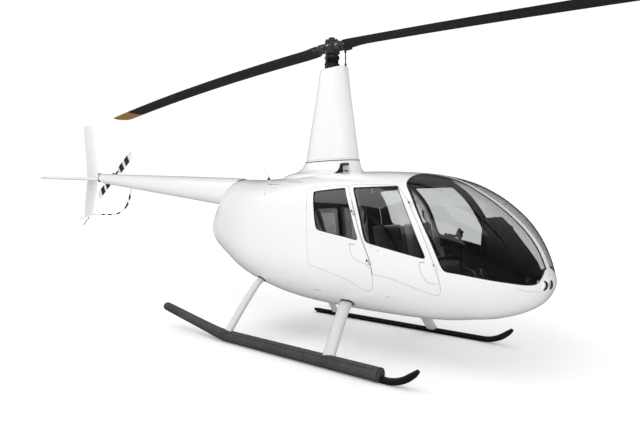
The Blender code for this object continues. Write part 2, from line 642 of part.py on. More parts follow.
def build_mast_fairing():
    tower = bridge_rings(bmesh.new(), fairing_rings(MAST_FAIRING))
    bore = turned([(MAST_RADIUS + 2 * TOUCH, 0.0), (MAST_RADIUS + 2 * TOUCH, 0.3)], (0, 0, MAST_BORE_Z), (0, 0, 1))
    smooth(new_object("mast_fairing", combined(tower, ('DIFFERENCE', bore)), white_paint))
    base = bridge_rings(bmesh.new(), fairing_rings(MAST_BASE))
    base = combined(base, ('DIFFERENCE', body_solid(-TOUCH, -3.0)), ('DIFFERENCE', block(*INTAKE_CORNER)),
                    ('DIFFERENCE', block(*INTAKE_DUCT)))
    keep = block((-1.5, -0.6, 1.74), (1.0, 0.6, 2.1))
    smooth(new_object("mast_base_fairing", combined(base, ('INTERSECT', keep)), white_paint))


def build_tail():
    bore = turned([(TAILCONE_FRONT_RADIUS - TAILCONE_SKIN, -0.02),
                   (TAILCONE_REAR_RADIUS - TAILCONE_SKIN, TAILCONE_LENGTH + 0.02)], TAILCONE_FRONT, TAILCONE_AXIS, sides=32)
    cone = combined(tailcone_shape(0.0), ('DIFFERENCE', bore), ('DIFFERENCE', prism(TAILCONE_END, -0.2, 0.2)))
    smooth(new_object("tailcone", cone, white_paint))
    gearbox_front = TAILCONE_REAR + TAILCONE_AXIS * TOUCH
    gearbox = turned([(0.050, -0.19), (0.060, -0.17), (0.060, 0.0), (0.070, 0.0), (0.070, 0.02), (0.055, 0.03),
                      (0.055, 0.22), (0.07, 0.24), (0.07, 0.30), (0.05, 0.34)], gearbox_front, TAILCONE_AXIS, sides=20)
    centre = Vector((TAIL_ROTOR.x, 0.0, TAIL_ROTOR.z))
    output = turned([(0.040, 0.0), (0.040, 0.12), (0.030, 0.14), (0.030, 0.19)], centre, (0, 1, 0), sides=20)
    bracket = block((-5.70, FIN_Y + 0.0145, 1.915), (-5.53, -0.02, 1.985))
    smooth(new_object("tail_gearbox", combined(gearbox, ('UNION', output), ('UNION', bracket)), bare_metal))


def aerofoil_rings(rows, across):
    """Rings of thin symmetrical section from rows of (leading point, trailing point, half thickness)."""
    shape = ((0.0, 0.12), (0.08, 0.6), (0.30, 1.0), (0.65, 0.75), (1.0, 0.12))
    rings = []
    for lead, trail, half in rows:
        lead, trail = Vector(lead), Vector(trail)
        ring = [lead.lerp(trail, share) + across * half * height for share, height in shape]
        ring += [lead.lerp(trail, share) - across * half * height for share, height in reversed(shape)]
        rings.append(ring)
    return rings


# Fins: height and station of the leading edge, height and station of the trailing edge, half thickness
FinRow = namedtuple("FinRow", "lead_x lead_z trail_x trail_z half")
UPPER_FIN = [FinRow(*row) for row in (
    (-5.374, 1.938, -5.797, 1.934, 0.014), (-5.403, 2.172, -5.803, 2.150, 0.014), (-5.445, 2.436, -5.836, 2.430, 0.013),
    (-5.488, 2.702, -5.872, 2.720, 0.012), (-5.507, 2.800, -5.883, 2.830, 0.011), (-5.534, 2.848, -5.889, 2.880, 0.009),
    (-5.562, 2.868, -5.891, 2.900, 0.006))]
LOWER_FIN = [FinRow(*row) for row in (
    (-5.374, 1.9377, -5.797, 1.9337, 0.014), (-5.394, 1.822, -5.812, 1.869, 0.014), (-5.471, 1.648, -5.866, 1.662, 0.013),
    (-5.539, 1.472, -5.912, 1.472, 0.012), (-5.585, 1.348, -5.944, 1.348, 0.011), (-5.768, 1.250, -5.970, 1.250, 0.009))]


def fin_shape(table, grow=0.0):
    rows = [((row.lead_x + grow, FIN_Y, row.lead_z), (row.trail_x - grow, FIN_Y, row.trail_z), row.half + 2 * grow)
            for row in table]
    return bridge_rings(bmesh.new(), aerofoil_rings(rows, Vector((0, 1, 0))))


def build_fins():
    """Upper and lower fin, the stabiliser on their outer side, the rotor guard and the rods below."""
    smooth(new_object("upper_fin", fin_shape(UPPER_FIN), white_paint))
    smooth(new_object("lower_fin", fin_shape(LOWER_FIN), white_paint))
    stab_y = FIN_Y - 0.014 - TOUCH
    rows = (((-5.360, stab_y, 1.928), (-5.785, stab_y, 1.932), 0.019),
            ((-5.620, -0.835, 1.949), (-5.975, -0.835, 1.949), 0.013),
            ((-5.655, -0.864, 1.950), (-5.985, -0.864, 1.950), 0.008))
    stab = bridge_rings(bmesh.new(), aerofoil_rings(rows, Vector((0, 0, 1))))
    smooth(new_object("horizontal_stabiliser", stab, white_paint))
    path = [(-4.392, 0, 1.790), (-4.401, 0, 1.760), (-4.439, 0, 1.667), (-4.475, 0, 1.585), (-4.546, 0, 1.486),
            (-4.668, 0, 1.395), (-4.808, 0, 1.343), (-4.984, 0, 1.313), (-5.349, 0, 1.304), (-5.560, 0, 1.302),
            (-5.650, -0.030, 1.301), (-5.790, FIN_Y + 0.006, 1.300)]
    guard = combined(swept(path, 0.0095, sides=10, side=Vector((0, 1, 0))), ('DIFFERENCE', tailcone_shape(TOUCH)),
                     ('DIFFERENCE', fin_shape(LOWER_FIN, TOUCH)))
    smooth(new_object("tail_rotor_guard", guard, black_paint))
    rod_z = LOWER_FIN[-1].lead_z - TOUCH
    skid = swept([(-5.790, FIN_Y, rod_z), (-5.790, FIN_Y, 1.237), (-5.812, FIN_Y, 1.221), (-5.900, FIN_Y, 1.170),
                  (-6.004, FIN_Y, 1.107)], 0.0085, sides=8, side=Vector((0, 1, 0)))
    smooth(new_object("tail_skid", skid, black_paint))
    rod = swept([(-5.880, FIN_Y, rod_z), (-5.880, FIN_Y, 1.243), (-5.900, FIN_Y, 1.236), (-6.287, FIN_Y, 1.212)], 0.006,
                sides=8, side=Vector((0, 1, 0)))
    smooth(new_object("trailing_rod", rod, bare_metal))


def build_antenna():
    foot = turned([(0.020, 0.0), (0.020, 0.045), (0.008, 0.060)], (-1.055, 0, 1.745), (0, 0, 1), sides=12)
    rod = swept([(-1.056, 0, 1.78), (-1.32, 0, 2.26)], [0.006, 0.003], [0.006, 0.003], sides=8)
    rod = combined(rod, ('UNION', foot), ('DIFFERENCE', body_solid(-TOUCH, -3.0)))
    smooth(new_object("whip_antenna", rod, white_paint))


# Landing gear

def skid_path(rear_x):
    """Straight along the ground, then curved up to the tip."""
    start, bend, radius = 1.305, radians(35), 0.41
    path = [(rear_x, SKID_RADIUS), (start, SKID_RADIUS)]
    for k in range(1, 6):
        a = bend * k / 5
        path.append((start + radius * sin(a), SKID_RADIUS + radius * (1 - cos(a))))
    x, z = path[-1]
    path.append((x + 0.060 * cos(bend), z + 0.062 * sin(bend)))
    path.append((x + 0.105 * cos(bend), z + 0.122 * sin(bend)))
    return path


def build_gear():
    for side, rear_x in ((STARBOARD, -0.86), (PORT, -1.085)):
        y = side * SKID_HALF_TREAD
        path = [(x, y, z) for x, z in skid_path(rear_x)]
        widths = [SKID_RADIUS] * (len(path) - 1) + [SKID_RADIUS * 0.45]
        if side == PORT:
            path.insert(0, (rear_x - 0.055, y, SKID_RADIUS * 1.35))
            widths.insert(0, SKID_RADIUS * 0.45)
        tube = swept(path, widths, widths, sides=16)
        smooth(new_object("skid_" + side_name(side), tube, black_paint))
    y = -SKID_HALF_TREAD
    stations = ((1.262, 0.066, 0.062), (-0.820, 0.066, 0.062), (-0.920, 0.074, 0.060), (-1.100, 0.100, 0.055),
                (-1.960, 0.240, 0.046), (-2.000, 0.247, 0.034))
    radii = [radius for x, z, radius in stations]
    cover = swept([(x, y, z) for x, z, radius in stations], radii, radii, sides=20)
    groove = swept([(1.40, y, SKID_RADIUS), (-0.861, y, SKID_RADIUS)], SKID_RADIUS + TOUCH, sides=16)
    cover = combined(cover, ('DIFFERENCE', groove))
    smooth(new_object("float_cover_starboard", cover, black_paint))

    for row in CROSS_TUBES:
        smooth(new_object(row.name + "_cross_tube", cross_tube(row, 0.0), white_paint))


# Rotors

# Main blade: distance from the mast, leading and trailing length, half thickness
BladeRow = namedtuple("BladeRow", "r lead trail half")
BLADE = [BladeRow(*row) for row in (
    (GRIP_END + TOUCH, 0.052, 0.052, 0.040), (0.350, 0.060, 0.085, 0.030), (0.420, 0.077, 0.150, 0.020),
    (0.520, 0.083, 0.184, 0.017), (2.000, 0.083, 0.184, 0.016), (3.500, 0.083, 0.184, 0.016),
    (4.600, 0.083, 0.184, 0.015), (4.980, 0.083, 0.184, 0.013), (ROTOR_RADIUS, 0.076, 0.170, 0.010))]

# Each parked blade: height of its axis at r is hub - drop * r - bow * r * r; pitch raises the leading edge
ParkedBlade = namedtuple("ParkedBlade", "name sign drop bow pitch")
PARKED_BLADES = (ParkedBlade("forward", 1, 0.0648, 0.0047, radians(0.5)),
                 ParkedBlade("aft", -1, 0.0059, 0.0083, radians(5.0)))

PitchLink = namedtuple("PitchLink", "name x y")
PITCH_LINKS = (PitchLink("forward", 0.106, 0.100), PitchLink("aft", 0.030, -0.128))
HORN_Z = 3.138                    # underside of the pitch horns
HORN_THICK = 0.018
SWASH_ARM_Z = 2.978               # top of the swashplate's arms


def blade_axis(blade, r):
    return Vector((blade.sign * r, 0, ROTOR_HUB_Z - blade.drop * r - blade.bow * r * r))


def grip_direction(blade):
    return (blade_axis(blade, GRIP_END) - blade_axis(blade, GRIP_START)).normalized()


def blade_shape(blade):
    rings = []
    outward = grip_direction(blade)
    for row in BLADE:
        share = min(1.0, (row.r - GRIP_END) / (BLADE[3].r - GRIP_END))
        pitch = blade.pitch * share
        chordwise = Vector((0, blade.sign * cos(pitch), sin(pitch)))
        up = Vector((0, -blade.sign * sin(pitch), cos(pitch)))
        if row is BLADE[0]:
            up = outward.cross(chordwise).normalized()
            up *= copysign(1, up.z)
        shape = ((row.lead, 0.0), (row.lead * 0.92, 0.35), (row.lead * 0.65, 0.8), (row.lead * 0.1, 1.0),
                 (-row.trail * 0.45, 0.62), (-row.trail, 0.08), (-row.trail, -0.08), (-row.trail * 0.45, -0.62),
                 (row.lead * 0.1, -1.0), (row.lead * 0.65, -0.8), (row.lead * 0.92, -0.35))
        rings.append([blade_axis(blade, row.r) + chordwise * along + up * row.half * height
                      for along, height in shape])
    return bridge_rings(bmesh.new(), rings)


def grip_shape(blade):
    """Blade grip: a bulged barrel with the pitch horn on its leading side."""
    start, outward = blade_axis(blade, GRIP_START), grip_direction(blade)
    length = (blade_axis(blade, GRIP_END) - start).length
    barrel = turned([(0.044, 0.0), (0.050, 0.012), (0.054, 0.05), (0.054, 0.085), (0.051, 0.10), (0.051, length - 0.01),
                     (0.048, length)], start, outward, sides=24)
    link = next(row for row in PITCH_LINKS if row.name == blade.name)
    horn_top = HORN_Z + HORN_THICK
    side = copysign(1, link.y)
    near_x, far_x = sorted((blade.sign * 0.168, blade.sign * 0.198))
    near_y, far_y = sorted((side * 0.020, link.y + side * 0.012))
    horn = block((near_x, near_y, HORN_Z), (far_x, far_y, horn_top))
    near_x, far_x = sorted((link.x - blade.sign * 0.014, blade.sign * 0.198))
    near_y, far_y = sorted((link.y - side * 0.012, link.y + side * 0.012))
    reach = block((near_x, near_y, HORN_Z), (far_x, far_y, horn_top))
    return combined(barrel, ('UNION', horn), ('UNION', reach))


def parked(bm, carrier):
    """Turns a shape from the rotor's own frame to where the rotor is parked."""
    bmesh.ops.rotate(bm, cent=(0, 0, 0), matrix=Matrix.Rotation(BLADE_PARKED, 3, 'Z'), verts=bm.verts)
    return moved_to(bm, carrier.location)


def build_main_rotor():
    carrier = joint_empty("main_rotor_axis", (0, 0, ROTOR_HUB_Z))
    shaft = turned([(MAST_RADIUS, MAST_BORE_Z + 0.005), (MAST_RADIUS, 3.10)], (0, 0, 0), (0, 0, 1))
    smooth(new_object("rotor_shaft", moved_to(shaft, carrier.location), bare_metal, carrier))

    bar = rounded_block((-0.143, -0.050, -0.050), (0.143, 0.050, 0.042), 0.014)
    teeter = (PARKED_BLADES[0].drop - PARKED_BLADES[1].drop) / 2
    bmesh.ops.rotate(bar, cent=(0, 0, 0), matrix=Matrix.Rotation(teeter, 3, 'Y'), verts=bar.verts)
    bmesh.ops.translate(bar, vec=(0, 0, 3.180), verts=bar.verts)
    yoke = rounded_block((-0.060, -0.068, 3.10 + TOUCH), (0.060, 0.068, 3.212), 0.012)
    cap = turned([(0.076, 3.215), (0.076, 3.248), (0.052, 3.262), (0.034, HUB_TOP_Z)], (0, 0, 0), (0, 0, 1), sides=20)
    spindles = [('UNION', turned([(0.030, -0.03), (0.030, -TOUCH)], blade_axis(blade, GRIP_START),
                                 grip_direction(blade))) for blade in PARKED_BLADES]
    hub = combined(bar, ('UNION', yoke), ('UNION', cap), *spindles)
    smooth(new_object("rotor_hub", parked(hub, carrier), black_paint, carrier))

    boot = [(0.078, 2.952), (0.080, 2.992), (0.058, 3.000), (0.070, 3.014), (0.070, 3.028), (0.060, 3.038),
            (0.082, 3.052), (0.076, 3.080), (0.052, 3.094)]
    plate = turned(boot, (0, 0, 0), (0, 0, 1), sides=24)
    bore = turned([(MAST_RADIUS + TOUCH, 2.90), (MAST_RADIUS + TOUCH, 3.15)], (0, 0, 0), (0, 0, 1))
    arms = []
    for row in PITCH_LINKS:
        reach = Vector((row.x, row.y, 0))
        height = Vector((0, 0, SWASH_ARM_Z - 0.010))
        arms.append(('UNION', swept([reach * 0.4 + height, reach * 1.09 + height], 0.016, 0.010, sides=4)))
    plate = combined(plate, *arms, ('DIFFERENCE', bore))
    smooth(new_object("swashplate", parked(plate, carrier), black_paint, carrier))

    for blade, row in zip(PARKED_BLADES, PITCH_LINKS):
        smooth(new_object("blade_grip_" + blade.name, parked(grip_shape(blade), carrier), black_paint, carrier))
        low, high = SWASH_ARM_Z + TOUCH, HORN_Z - TOUCH
        link = turned([(0.011, low), (0.011, low + 0.020), (0.0065, low + 0.026), (0.0065, high - 0.026),
                       (0.011, high - 0.020), (0.011, high)], (row.x, row.y, 0), (0, 0, 1), sides=12)
        smooth(new_object("pitch_link_" + blade.name, parked(link, carrier), bare_metal, carrier))
        smooth(new_object("main_blade_" + blade.name, parked(blade_shape(blade), carrier), black_paint, carrier))


def build_tail_rotor():
    carrier = joint_empty("tail_rotor_axis", TAIL_ROTOR)
    hub = turned([(0.026, 0.190 + TOUCH - TAIL_ROTOR.y), (0.026, -0.02), (0.045, -0.02), (0.045, 0.03), (0.02, 0.05)],
                 (0, 0, 0), (0, 1, 0), sides=16)
    smooth(new_object("tail_rotor_hub", hub, bare_metal, carrier))
    for name, sign in (("upper", 1), ("lower", -1)):
        out = Vector((cos(TAIL_BLADE_PARKED), 0, sin(TAIL_BLADE_PARKED))) * sign
        chordwise = Vector((-out.z, 0, out.x))
        rings = []
        for r, lead, trail, thick in ((0.0455, 0.02, 0.02, 0.014), (0.16, 0.02, 0.02, 0.014),
                                      (0.22, 0.05, 0.07, 0.008), (TAIL_ROTOR_RADIUS, 0.05, 0.07, 0.006)):
            shape = ((lead, 0.0), (lead * 0.6, 1.0), (0.0, 1.0), (-trail, 0.15), (-trail, -0.15), (0.0, -1.0),
                     (lead * 0.6, -1.0))
            rings.append([out * r + chordwise * along + Vector((0, 1, 0)) * thick * height
                          for along, height in shape])
        blade = bridge_rings(bmesh.new(), rings)
        smooth(new_object("tail_blade_" + name, blade, black_paint, carrier))


for old in list(bpy.data.objects):
    bpy.data.objects.remove(old)
AIRFRAME = bpy.data.objects.new("airframe_datum", None)
AIRFRAME.location = (MAST_X, 0, 0)
bpy.context.scene.collection.objects.link(AIRFRAME)

build_cabin()
build_landing_lights()
build_posts()
build_windshield()
build_doors()
build_interior()
build_seats()
build_controls()
build_aft_body()
build_mast_fairing()
build_tail()
build_fins()
build_antenna()
build_gear()
build_main_rotor()
build_tail_rotor()
bpy.context.view_layer.update()
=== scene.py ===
"""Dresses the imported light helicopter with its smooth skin, glazing, cabin, rotors and landing gear.

Metres, +Z up, nose along +X and port along +Y.  Tables give stations from the rotor mast, and piece()
moves every finished shape to the model's own frame.
"""
import json
from collections import namedtuple
from math import ceil, copysign, cos, pi, radians, sin

import bmesh
import bpy
import numpy as np
from bpy.props import FloatProperty, FloatVectorProperty, IntProperty, PointerProperty
from bpy.types import Operator, Panel, PropertyGroup
from mathutils import Matrix, Vector
from mathutils.bvhtree import BVHTree


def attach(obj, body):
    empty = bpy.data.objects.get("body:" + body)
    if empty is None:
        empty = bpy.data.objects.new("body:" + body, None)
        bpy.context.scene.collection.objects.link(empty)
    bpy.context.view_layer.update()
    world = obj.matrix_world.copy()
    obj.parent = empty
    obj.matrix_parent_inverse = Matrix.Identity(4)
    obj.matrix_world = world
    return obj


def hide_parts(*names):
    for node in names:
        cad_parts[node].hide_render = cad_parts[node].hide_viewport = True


bl_info = {
    "name": "Light Helicopter",
    "version": (1, 0, 0),
    "blender": (4, 5, 0),
    "location": "3D Viewport > Sidebar > Helicopter",
    "description": "Builds the visible pieces of a four-seat light helicopter on its packed frame",
    "category": "Object",
}

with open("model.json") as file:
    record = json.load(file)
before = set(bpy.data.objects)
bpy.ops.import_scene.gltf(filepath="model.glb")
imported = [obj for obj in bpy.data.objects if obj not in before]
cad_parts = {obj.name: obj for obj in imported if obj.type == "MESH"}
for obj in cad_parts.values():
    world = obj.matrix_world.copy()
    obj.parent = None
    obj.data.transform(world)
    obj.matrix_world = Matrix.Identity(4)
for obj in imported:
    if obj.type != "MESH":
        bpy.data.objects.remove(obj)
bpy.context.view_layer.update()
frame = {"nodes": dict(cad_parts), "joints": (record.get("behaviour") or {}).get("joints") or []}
JOINTS = {joint["name"]: joint for joint in frame["joints"]}

MAST_X, _, ROTOR_HUB_Z = JOINTS["main_rotor_turn"]["pos_m"]
TAIL_ROTOR = Vector(JOINTS["tail_rotor_turn"]["pos_m"]) - Vector((MAST_X, 0, 0))
STARBOARD, PORT = -1, 1
SIDES = ((STARBOARD, "starboard"), (PORT, "port"))
ACROSS = Vector((0, 1, 0))
TOUCH = 0.0003            # between two pieces that meet
SKIN = 0.030
DOOR_SKIN = 0.025
DOOR_GAP = 0.0056
FIREWALL_X = -0.12
CABIN_FLOOR_Z = 0.60
QUARTER = 32              # points on a quarter of a body section
SKIN_STEP = 0.035         # distance between two body sections

# Body sections, nose to tail: station, bottom, top, height of the widest line, half width,
# roundness above and below it, and how far the wall leans forward there
SECTIONS = (
    (2.3483, 0.822, 0.822, 0.822, 0.000, 1.9, 2.0, 1.00),
    (2.345, 0.788, 0.862, 0.822, 0.070, 1.9, 2.0, 1.00),
    (2.334, 0.762, 0.886, 0.820, 0.125, 1.9, 2.0, 0.97),
    (2.305, 0.706, 0.958, 0.822, 0.203, 2.0, 2.0, 0.90),
    (2.250, 0.639, 1.090, 0.843, 0.303, 2.2, 2.0, 0.80),
    (2.160, 0.580, 1.225, 0.872, 0.395, 2.7, 2.0, 0.68),
    (2.040, 0.529, 1.350, 0.898, 0.482, 3.3, 2.1, 0.55),
    (1.880, 0.484, 1.480, 0.926, 0.548, 3.7, 2.2, 0.42),
    (1.740, 0.462, 1.572, 0.948, 0.583, 3.8, 2.25, 0.33),
    (1.600, 0.438, 1.652, 0.966, 0.597, 3.5, 2.3, 0.25),
    (1.300, 0.413, 1.745, 1.000, 0.630, 3.2, 2.4, 0.10),
    (0.950, 0.405, 1.787, 1.000, 0.640, 3.3, 2.4, 0.00),
    (0.380, 0.407, 1.807, 1.000, 0.640, 3.3, 2.4, 0.00),
    (-0.120, 0.428, 1.800, 1.020, 0.635, 3.2, 2.4, 0.00),
    (-0.450, 0.460, 1.785, 1.050, 0.610, 3.0, 2.4, 0.00),
    (-0.800, 0.515, 1.775, 1.080, 0.565, 2.8, 2.3, 0.00),
    (-1.150, 0.590, 1.775, 1.120, 0.490, 2.6, 2.2, 0.00),
    (-1.450, 0.690, 1.785, 1.170, 0.405, 2.4, 2.1, 0.00),
    (-1.600, 0.760, 1.760, 1.180, 0.360, 2.3, 2.0, 0.00),
    (-1.750, 0.845, 1.620, 1.180, 0.310, 2.1, 2.0, 0.00),
    (-1.860, 0.920, 1.450, 1.175, 0.262, 2.0, 2.0, 0.00),
    (-1.895, 0.945, 1.405, 1.175, 0.230, 2.0, 2.0, 0.00),
)
TAIL_END_X = SECTIONS[-1][0]

# The seam between a front and a rear door (station, height), from the roof down
DOOR_SEAM = [(0.640, 1.668), (0.732, 1.523), (0.781, 1.431), (0.817, 1.340), (0.850, 1.250), (0.886, 1.165),
             (0.922, 1.090), (0.952, 1.025), (0.976, 0.968), (0.990, 0.897), (0.992, 0.852)]


def beside_seam(shift):
    return [(x + shift, z) for x, z in DOOR_SEAM]


# Side outlines (station, height)
FRONT_DOOR = [(1.185, 1.652), (1.345, 1.505), (1.470, 1.300), (1.565, 1.090), (1.630, 0.930), (1.655, 0.800),
              (1.640, 0.735), (1.590, 0.715), (1.400, 0.772), (1.150, 0.845), (1.040, 0.850)]
FRONT_DOOR += beside_seam(0.0015)[::-1]
REAR_DOOR = [(0.125, 1.645), (0.400, 1.662)] + beside_seam(-0.0015)
REAR_DOOR += [(0.992, 0.800), (0.980, 0.745), (0.955, 0.705), (0.915, 0.685), (0.840, 0.698), (0.780, 0.733),
              (0.640, 0.790), (0.400, 0.850), (0.205, 0.885), (0.195, 1.100), (0.185, 1.380)]
FRONT_WINDOW = [(0.703, 1.641), (1.180, 1.644), (1.199, 1.624), (1.283, 1.518), (1.346, 1.416), (1.398, 1.320),
                (1.447, 1.216), (1.494, 1.117), (1.529, 1.040), (1.512, 1.026), (1.432, 1.041), (1.293, 1.069),
                (1.140, 1.099), (0.957, 1.133), (0.925, 1.150), (0.908, 1.180), (0.886, 1.251), (0.860, 1.341),
                (0.825, 1.431), (0.779, 1.522)]
REAR_WINDOW = [(0.213, 1.610), (0.292, 1.620), (0.482, 1.633), (0.600, 1.641), (0.616, 1.630), (0.684, 1.523),
               (0.735, 1.431), (0.772, 1.339), (0.807, 1.249), (0.835, 1.180), (0.833, 1.163), (0.817, 1.156),
               (0.689, 1.178), (0.501, 1.208), (0.371, 1.228), (0.330, 1.240), (0.313, 1.262), (0.293, 1.331),
               (0.271, 1.428), (0.241, 1.526)]
WINDSHIELD = [(1.215, 1.900), (1.228, 1.680), (1.340, 1.561), (1.405, 1.466), (1.460, 1.374), (1.515, 1.276),
              (1.564, 1.186), (1.608, 1.093), (1.649, 1.000), (1.678, 0.948), (1.700, 0.932), (1.730, 0.927),
              (1.821, 0.917), (1.932, 0.899), (2.038, 0.880), (2.160, 0.857), (2.235, 0.841), (2.275, 0.835),
              (2.299, 0.840), (2.311, 0.860), (2.316, 0.895), (2.312, 0.925), (2.306, 0.958), (2.450, 0.970),
              (2.450, 1.900)]
ROOF_EDGE = [(-0.30, 2.0), (-0.30, 1.70), (0.100, 1.70), (0.100, 0.95), (1.90, 0.95), (1.90, 2.0)]
STRIP_HALF = 0.032
LINING_DEPTH = 0.020      # faces deeper under the skin than this belong to the lining
THROUGH = (-0.9, 0.9)     # a side outline carried across the whole body
STARBOARD_SKIN = (-0.9, -0.2)
SHARP_ANGLE = radians(32)

# Hinge lines of the starboard doors, and what joins their knuckles to the frame and to the door
FRONT_HINGE = (Vector((1.630, -0.612, 0.950)), Vector((1.352, -0.580, 1.509)))
REAR_HINGE = (Vector((0.970, -0.663, 0.950)), Vector((0.770, -0.641, 1.430)))
FRONT_BRACKET = Vector((0.022, 0.042, 0.0))
REAR_BRACKET = Vector((0.004, 0.070, 0.0))
FRONT_DOOR_ARM = Vector((-0.040, 0.030, 0.0))
REAR_DOOR_ARM = Vector((-0.026, 0.036, 0.0))
DOORS = (("front", FRONT_DOOR, FRONT_WINDOW, FRONT_HINGE, FRONT_DOOR_ARM),
         ("rear", REAR_DOOR, REAR_WINDOW, REAR_HINGE, REAR_DOOR_ARM))


# Values a user may change

class HelicopterSizes(PropertyGroup):
    seal_width: FloatProperty(name="Window seal", description="Width of the dark seal round each pane",
                              default=0.0055, min=0.001, max=0.02, unit='LENGTH')
    line_width: FloatProperty(name="Panel line", description="Width of the fine lines between fixed panels",
                              default=0.0022, min=0.0005, max=0.01, unit='LENGTH')
    screw_radius: FloatProperty(name="Screw head", description="Radius of the screws in the skin",
                                default=0.0055, min=0.002, max=0.02, unit='LENGTH')
    tip_band: FloatProperty(name="Blade tip band", description="Distance from the mast where the coloured tip starts",
                            default=4.47, min=1.0, max=5.0, unit='LENGTH')
    cushion_swell: FloatProperty(name="Cushion swell", description="Most that a cushion's skin moves out",
                                 default=0.012, min=0.0, max=0.03, unit='LENGTH')
    fan_blades: IntProperty(name="Fan blades", description="Blades of the cooling fan", default=26, min=6, max=60)


class HelicopterColours(PropertyGroup):
    paint: FloatVectorProperty(name="Paint", description="Body paint", subtype='COLOR', size=3,
                               default=(0.90, 0.90, 0.90), min=0, max=1)
    blade: FloatVectorProperty(name="Blades", description="Main rotor blades", subtype='COLOR', size=3,
                               default=(0.020, 0.020, 0.021), min=0, max=1)
    blade_tip: FloatVectorProperty(name="Blade tip", description="Band at the end of the aft blade", subtype='COLOR',
                                   size=3, default=(0.34, 0.185, 0.042), min=0, max=1)
    trim: FloatVectorProperty(name="Dark lining and shade", description="Lining and frames inside", subtype='COLOR', size=3,
                              default=(0.018, 0.018, 0.019), min=0, max=1)
    leather: FloatVectorProperty(name="Leather", description="Seat leather", subtype='COLOR', size=3,
                                 default=(0.17, 0.176, 0.172), min=0, max=1)
    leather_panel: FloatVectorProperty(name="Leather panel", description="Darker middle of each seat", subtype='COLOR',
                                       size=3, default=(0.075, 0.077, 0.078), min=0, max=1)
    cover: FloatVectorProperty(name="Float cover", description="Cloth over the stowed float", subtype='COLOR', size=3,
                               default=(0.050, 0.051, 0.052), min=0, max=1)


def sizes():
    return bpy.context.scene.helicopter_sizes


def colours():
    return bpy.context.scene.helicopter_colours


# Finishes

def new_group(name, fill):
    """A group of shader nodes, made once, with a vector and a scale going in."""
    if name in bpy.data.node_groups:
        return bpy.data.node_groups[name]
    tree = bpy.data.node_groups.new(name, 'ShaderNodeTree')
    tree.interface.new_socket(name="Vector", in_out='INPUT', socket_type='NodeSocketVector')
    scale = tree.interface.new_socket(name="Scale", in_out='INPUT', socket_type='NodeSocketFloat')
    scale.default_value = 1.0
    for output in ("Mask", "Height"):
        tree.interface.new_socket(name=output, in_out='OUTPUT', socket_type='NodeSocketFloat')
    enter = tree.nodes.new('NodeGroupInput')
    leave = tree.nodes.new('NodeGroupOutput')
    scaled = tree.nodes.new('ShaderNodeVectorMath')
    scaled.operation = 'SCALE'
    tree.links.new(enter.outputs["Vector"], scaled.inputs[0])
    tree.links.new(enter.outputs["Scale"], scaled.inputs["Scale"])
    mask, height = fill(tree, scaled.outputs[0])
    tree.links.new(mask, leave.inputs["Mask"])
    tree.links.new(height, leave.inputs["Height"])
    return tree


def noise(tree, vector, scale, detail=2.0, roughness=0.5, stretch=None):
    if stretch:
        stretched = tree.nodes.new('ShaderNodeVectorMath')
        stretched.operation = 'MULTIPLY'
        stretched.inputs[1].default_value = stretch
        tree.links.new(vector, stretched.inputs[0])
        vector = stretched.outputs[0]
    node = tree.nodes.new('ShaderNodeTexNoise')
    node.inputs["Scale"].default_value = scale
    node.inputs["Detail"].default_value = detail
    node.inputs["Roughness"].default_value = roughness
    tree.links.new(vector, node.inputs["Vector"])
    return node.outputs["Fac"]


def between(tree, value, low, high, to_low=0.0, to_high=1.0):
    node = tree.nodes.new('ShaderNodeMapRange')
    node.inputs["From Min"].default_value = low
    node.inputs["From Max"].default_value = high
    node.inputs["To Min"].default_value = to_low
    node.inputs["To Max"].default_value = to_high
    tree.links.new(value, node.inputs["Value"])
    return node.outputs["Result"]


def combine(tree, operation, first, second):
    node = tree.nodes.new('ShaderNodeMath')
    node.operation = operation
    for socket, value in zip(node.inputs, (first, second)):
        if isinstance(value, (int, float)):
            socket.default_value = value
        else:
            tree.links.new(value, socket)
    return node.outputs[0]


def sprayed_paint(tree, vector):
    cloud = between(tree, noise(tree, vector, 1.3, 4.0), 0.35, 0.75)
    return cloud, combine(tree, 'ADD', noise(tree, vector, 160.0, 1.0), noise(tree, vector, 14.0, 1.0))


def leather_grain(tree, vector):
    cells = tree.nodes.new('ShaderNodeTexVoronoi')
    cells.feature = 'SMOOTH_F1'
    cells.inputs["Scale"].default_value = 330.0
    tree.links.new(vector, cells.inputs["Vector"])
    worn = between(tree, noise(tree, vector, 9.0, 4.0), 0.40, 0.70)
    return worn, combine(tree, 'ADD', cells.outputs["Distance"], noise(tree, vector, 45.0, 3.0))


def woven_cloth(tree, vector):
    threads = []
    for direction in ('X', 'Z'):
        wave = tree.nodes.new('ShaderNodeTexWave')
        wave.bands_direction = direction
        wave.inputs["Scale"].default_value = 95.0
        wave.inputs["Distortion"].default_value = 0.4
        tree.links.new(vector, wave.inputs["Vector"])
        threads.append(wave.outputs["Fac"])
    faded = between(tree, noise(tree, vector, 5.0, 5.0, 0.6), 0.38, 0.72)
    return faded, combine(tree, 'ADD', combine(tree, 'MULTIPLY', *threads), noise(tree, vector, 12.0, 3.0))


def machined_metal(tree, vector):
    lines = noise(tree, vector, 30.0, 3.0, stretch=(1.0, 1.0, 24.0))
    return between(tree, noise(tree, vector, 22.0, 4.0), 0.35, 0.70), lines


def moulded_grain(tree, vector):
    return between(tree, noise(tree, vector, 6.0, 3.0), 0.35, 0.70), noise(tree, vector, 420.0, 2.0)


def blade_film(tree, vector):
    streaks = noise(tree, vector, 2.2, 5.0, 0.6, stretch=(0.35, 6.0, 3.0))
    return between(tree, streaks, 0.42, 0.70), noise(tree, vector, 240.0, 2.0)


def carpet_pile(tree, vector):
    return between(tree, noise(tree, vector, 60.0, 4.0), 0.30, 0.75), noise(tree, vector, 700.0, 1.0)


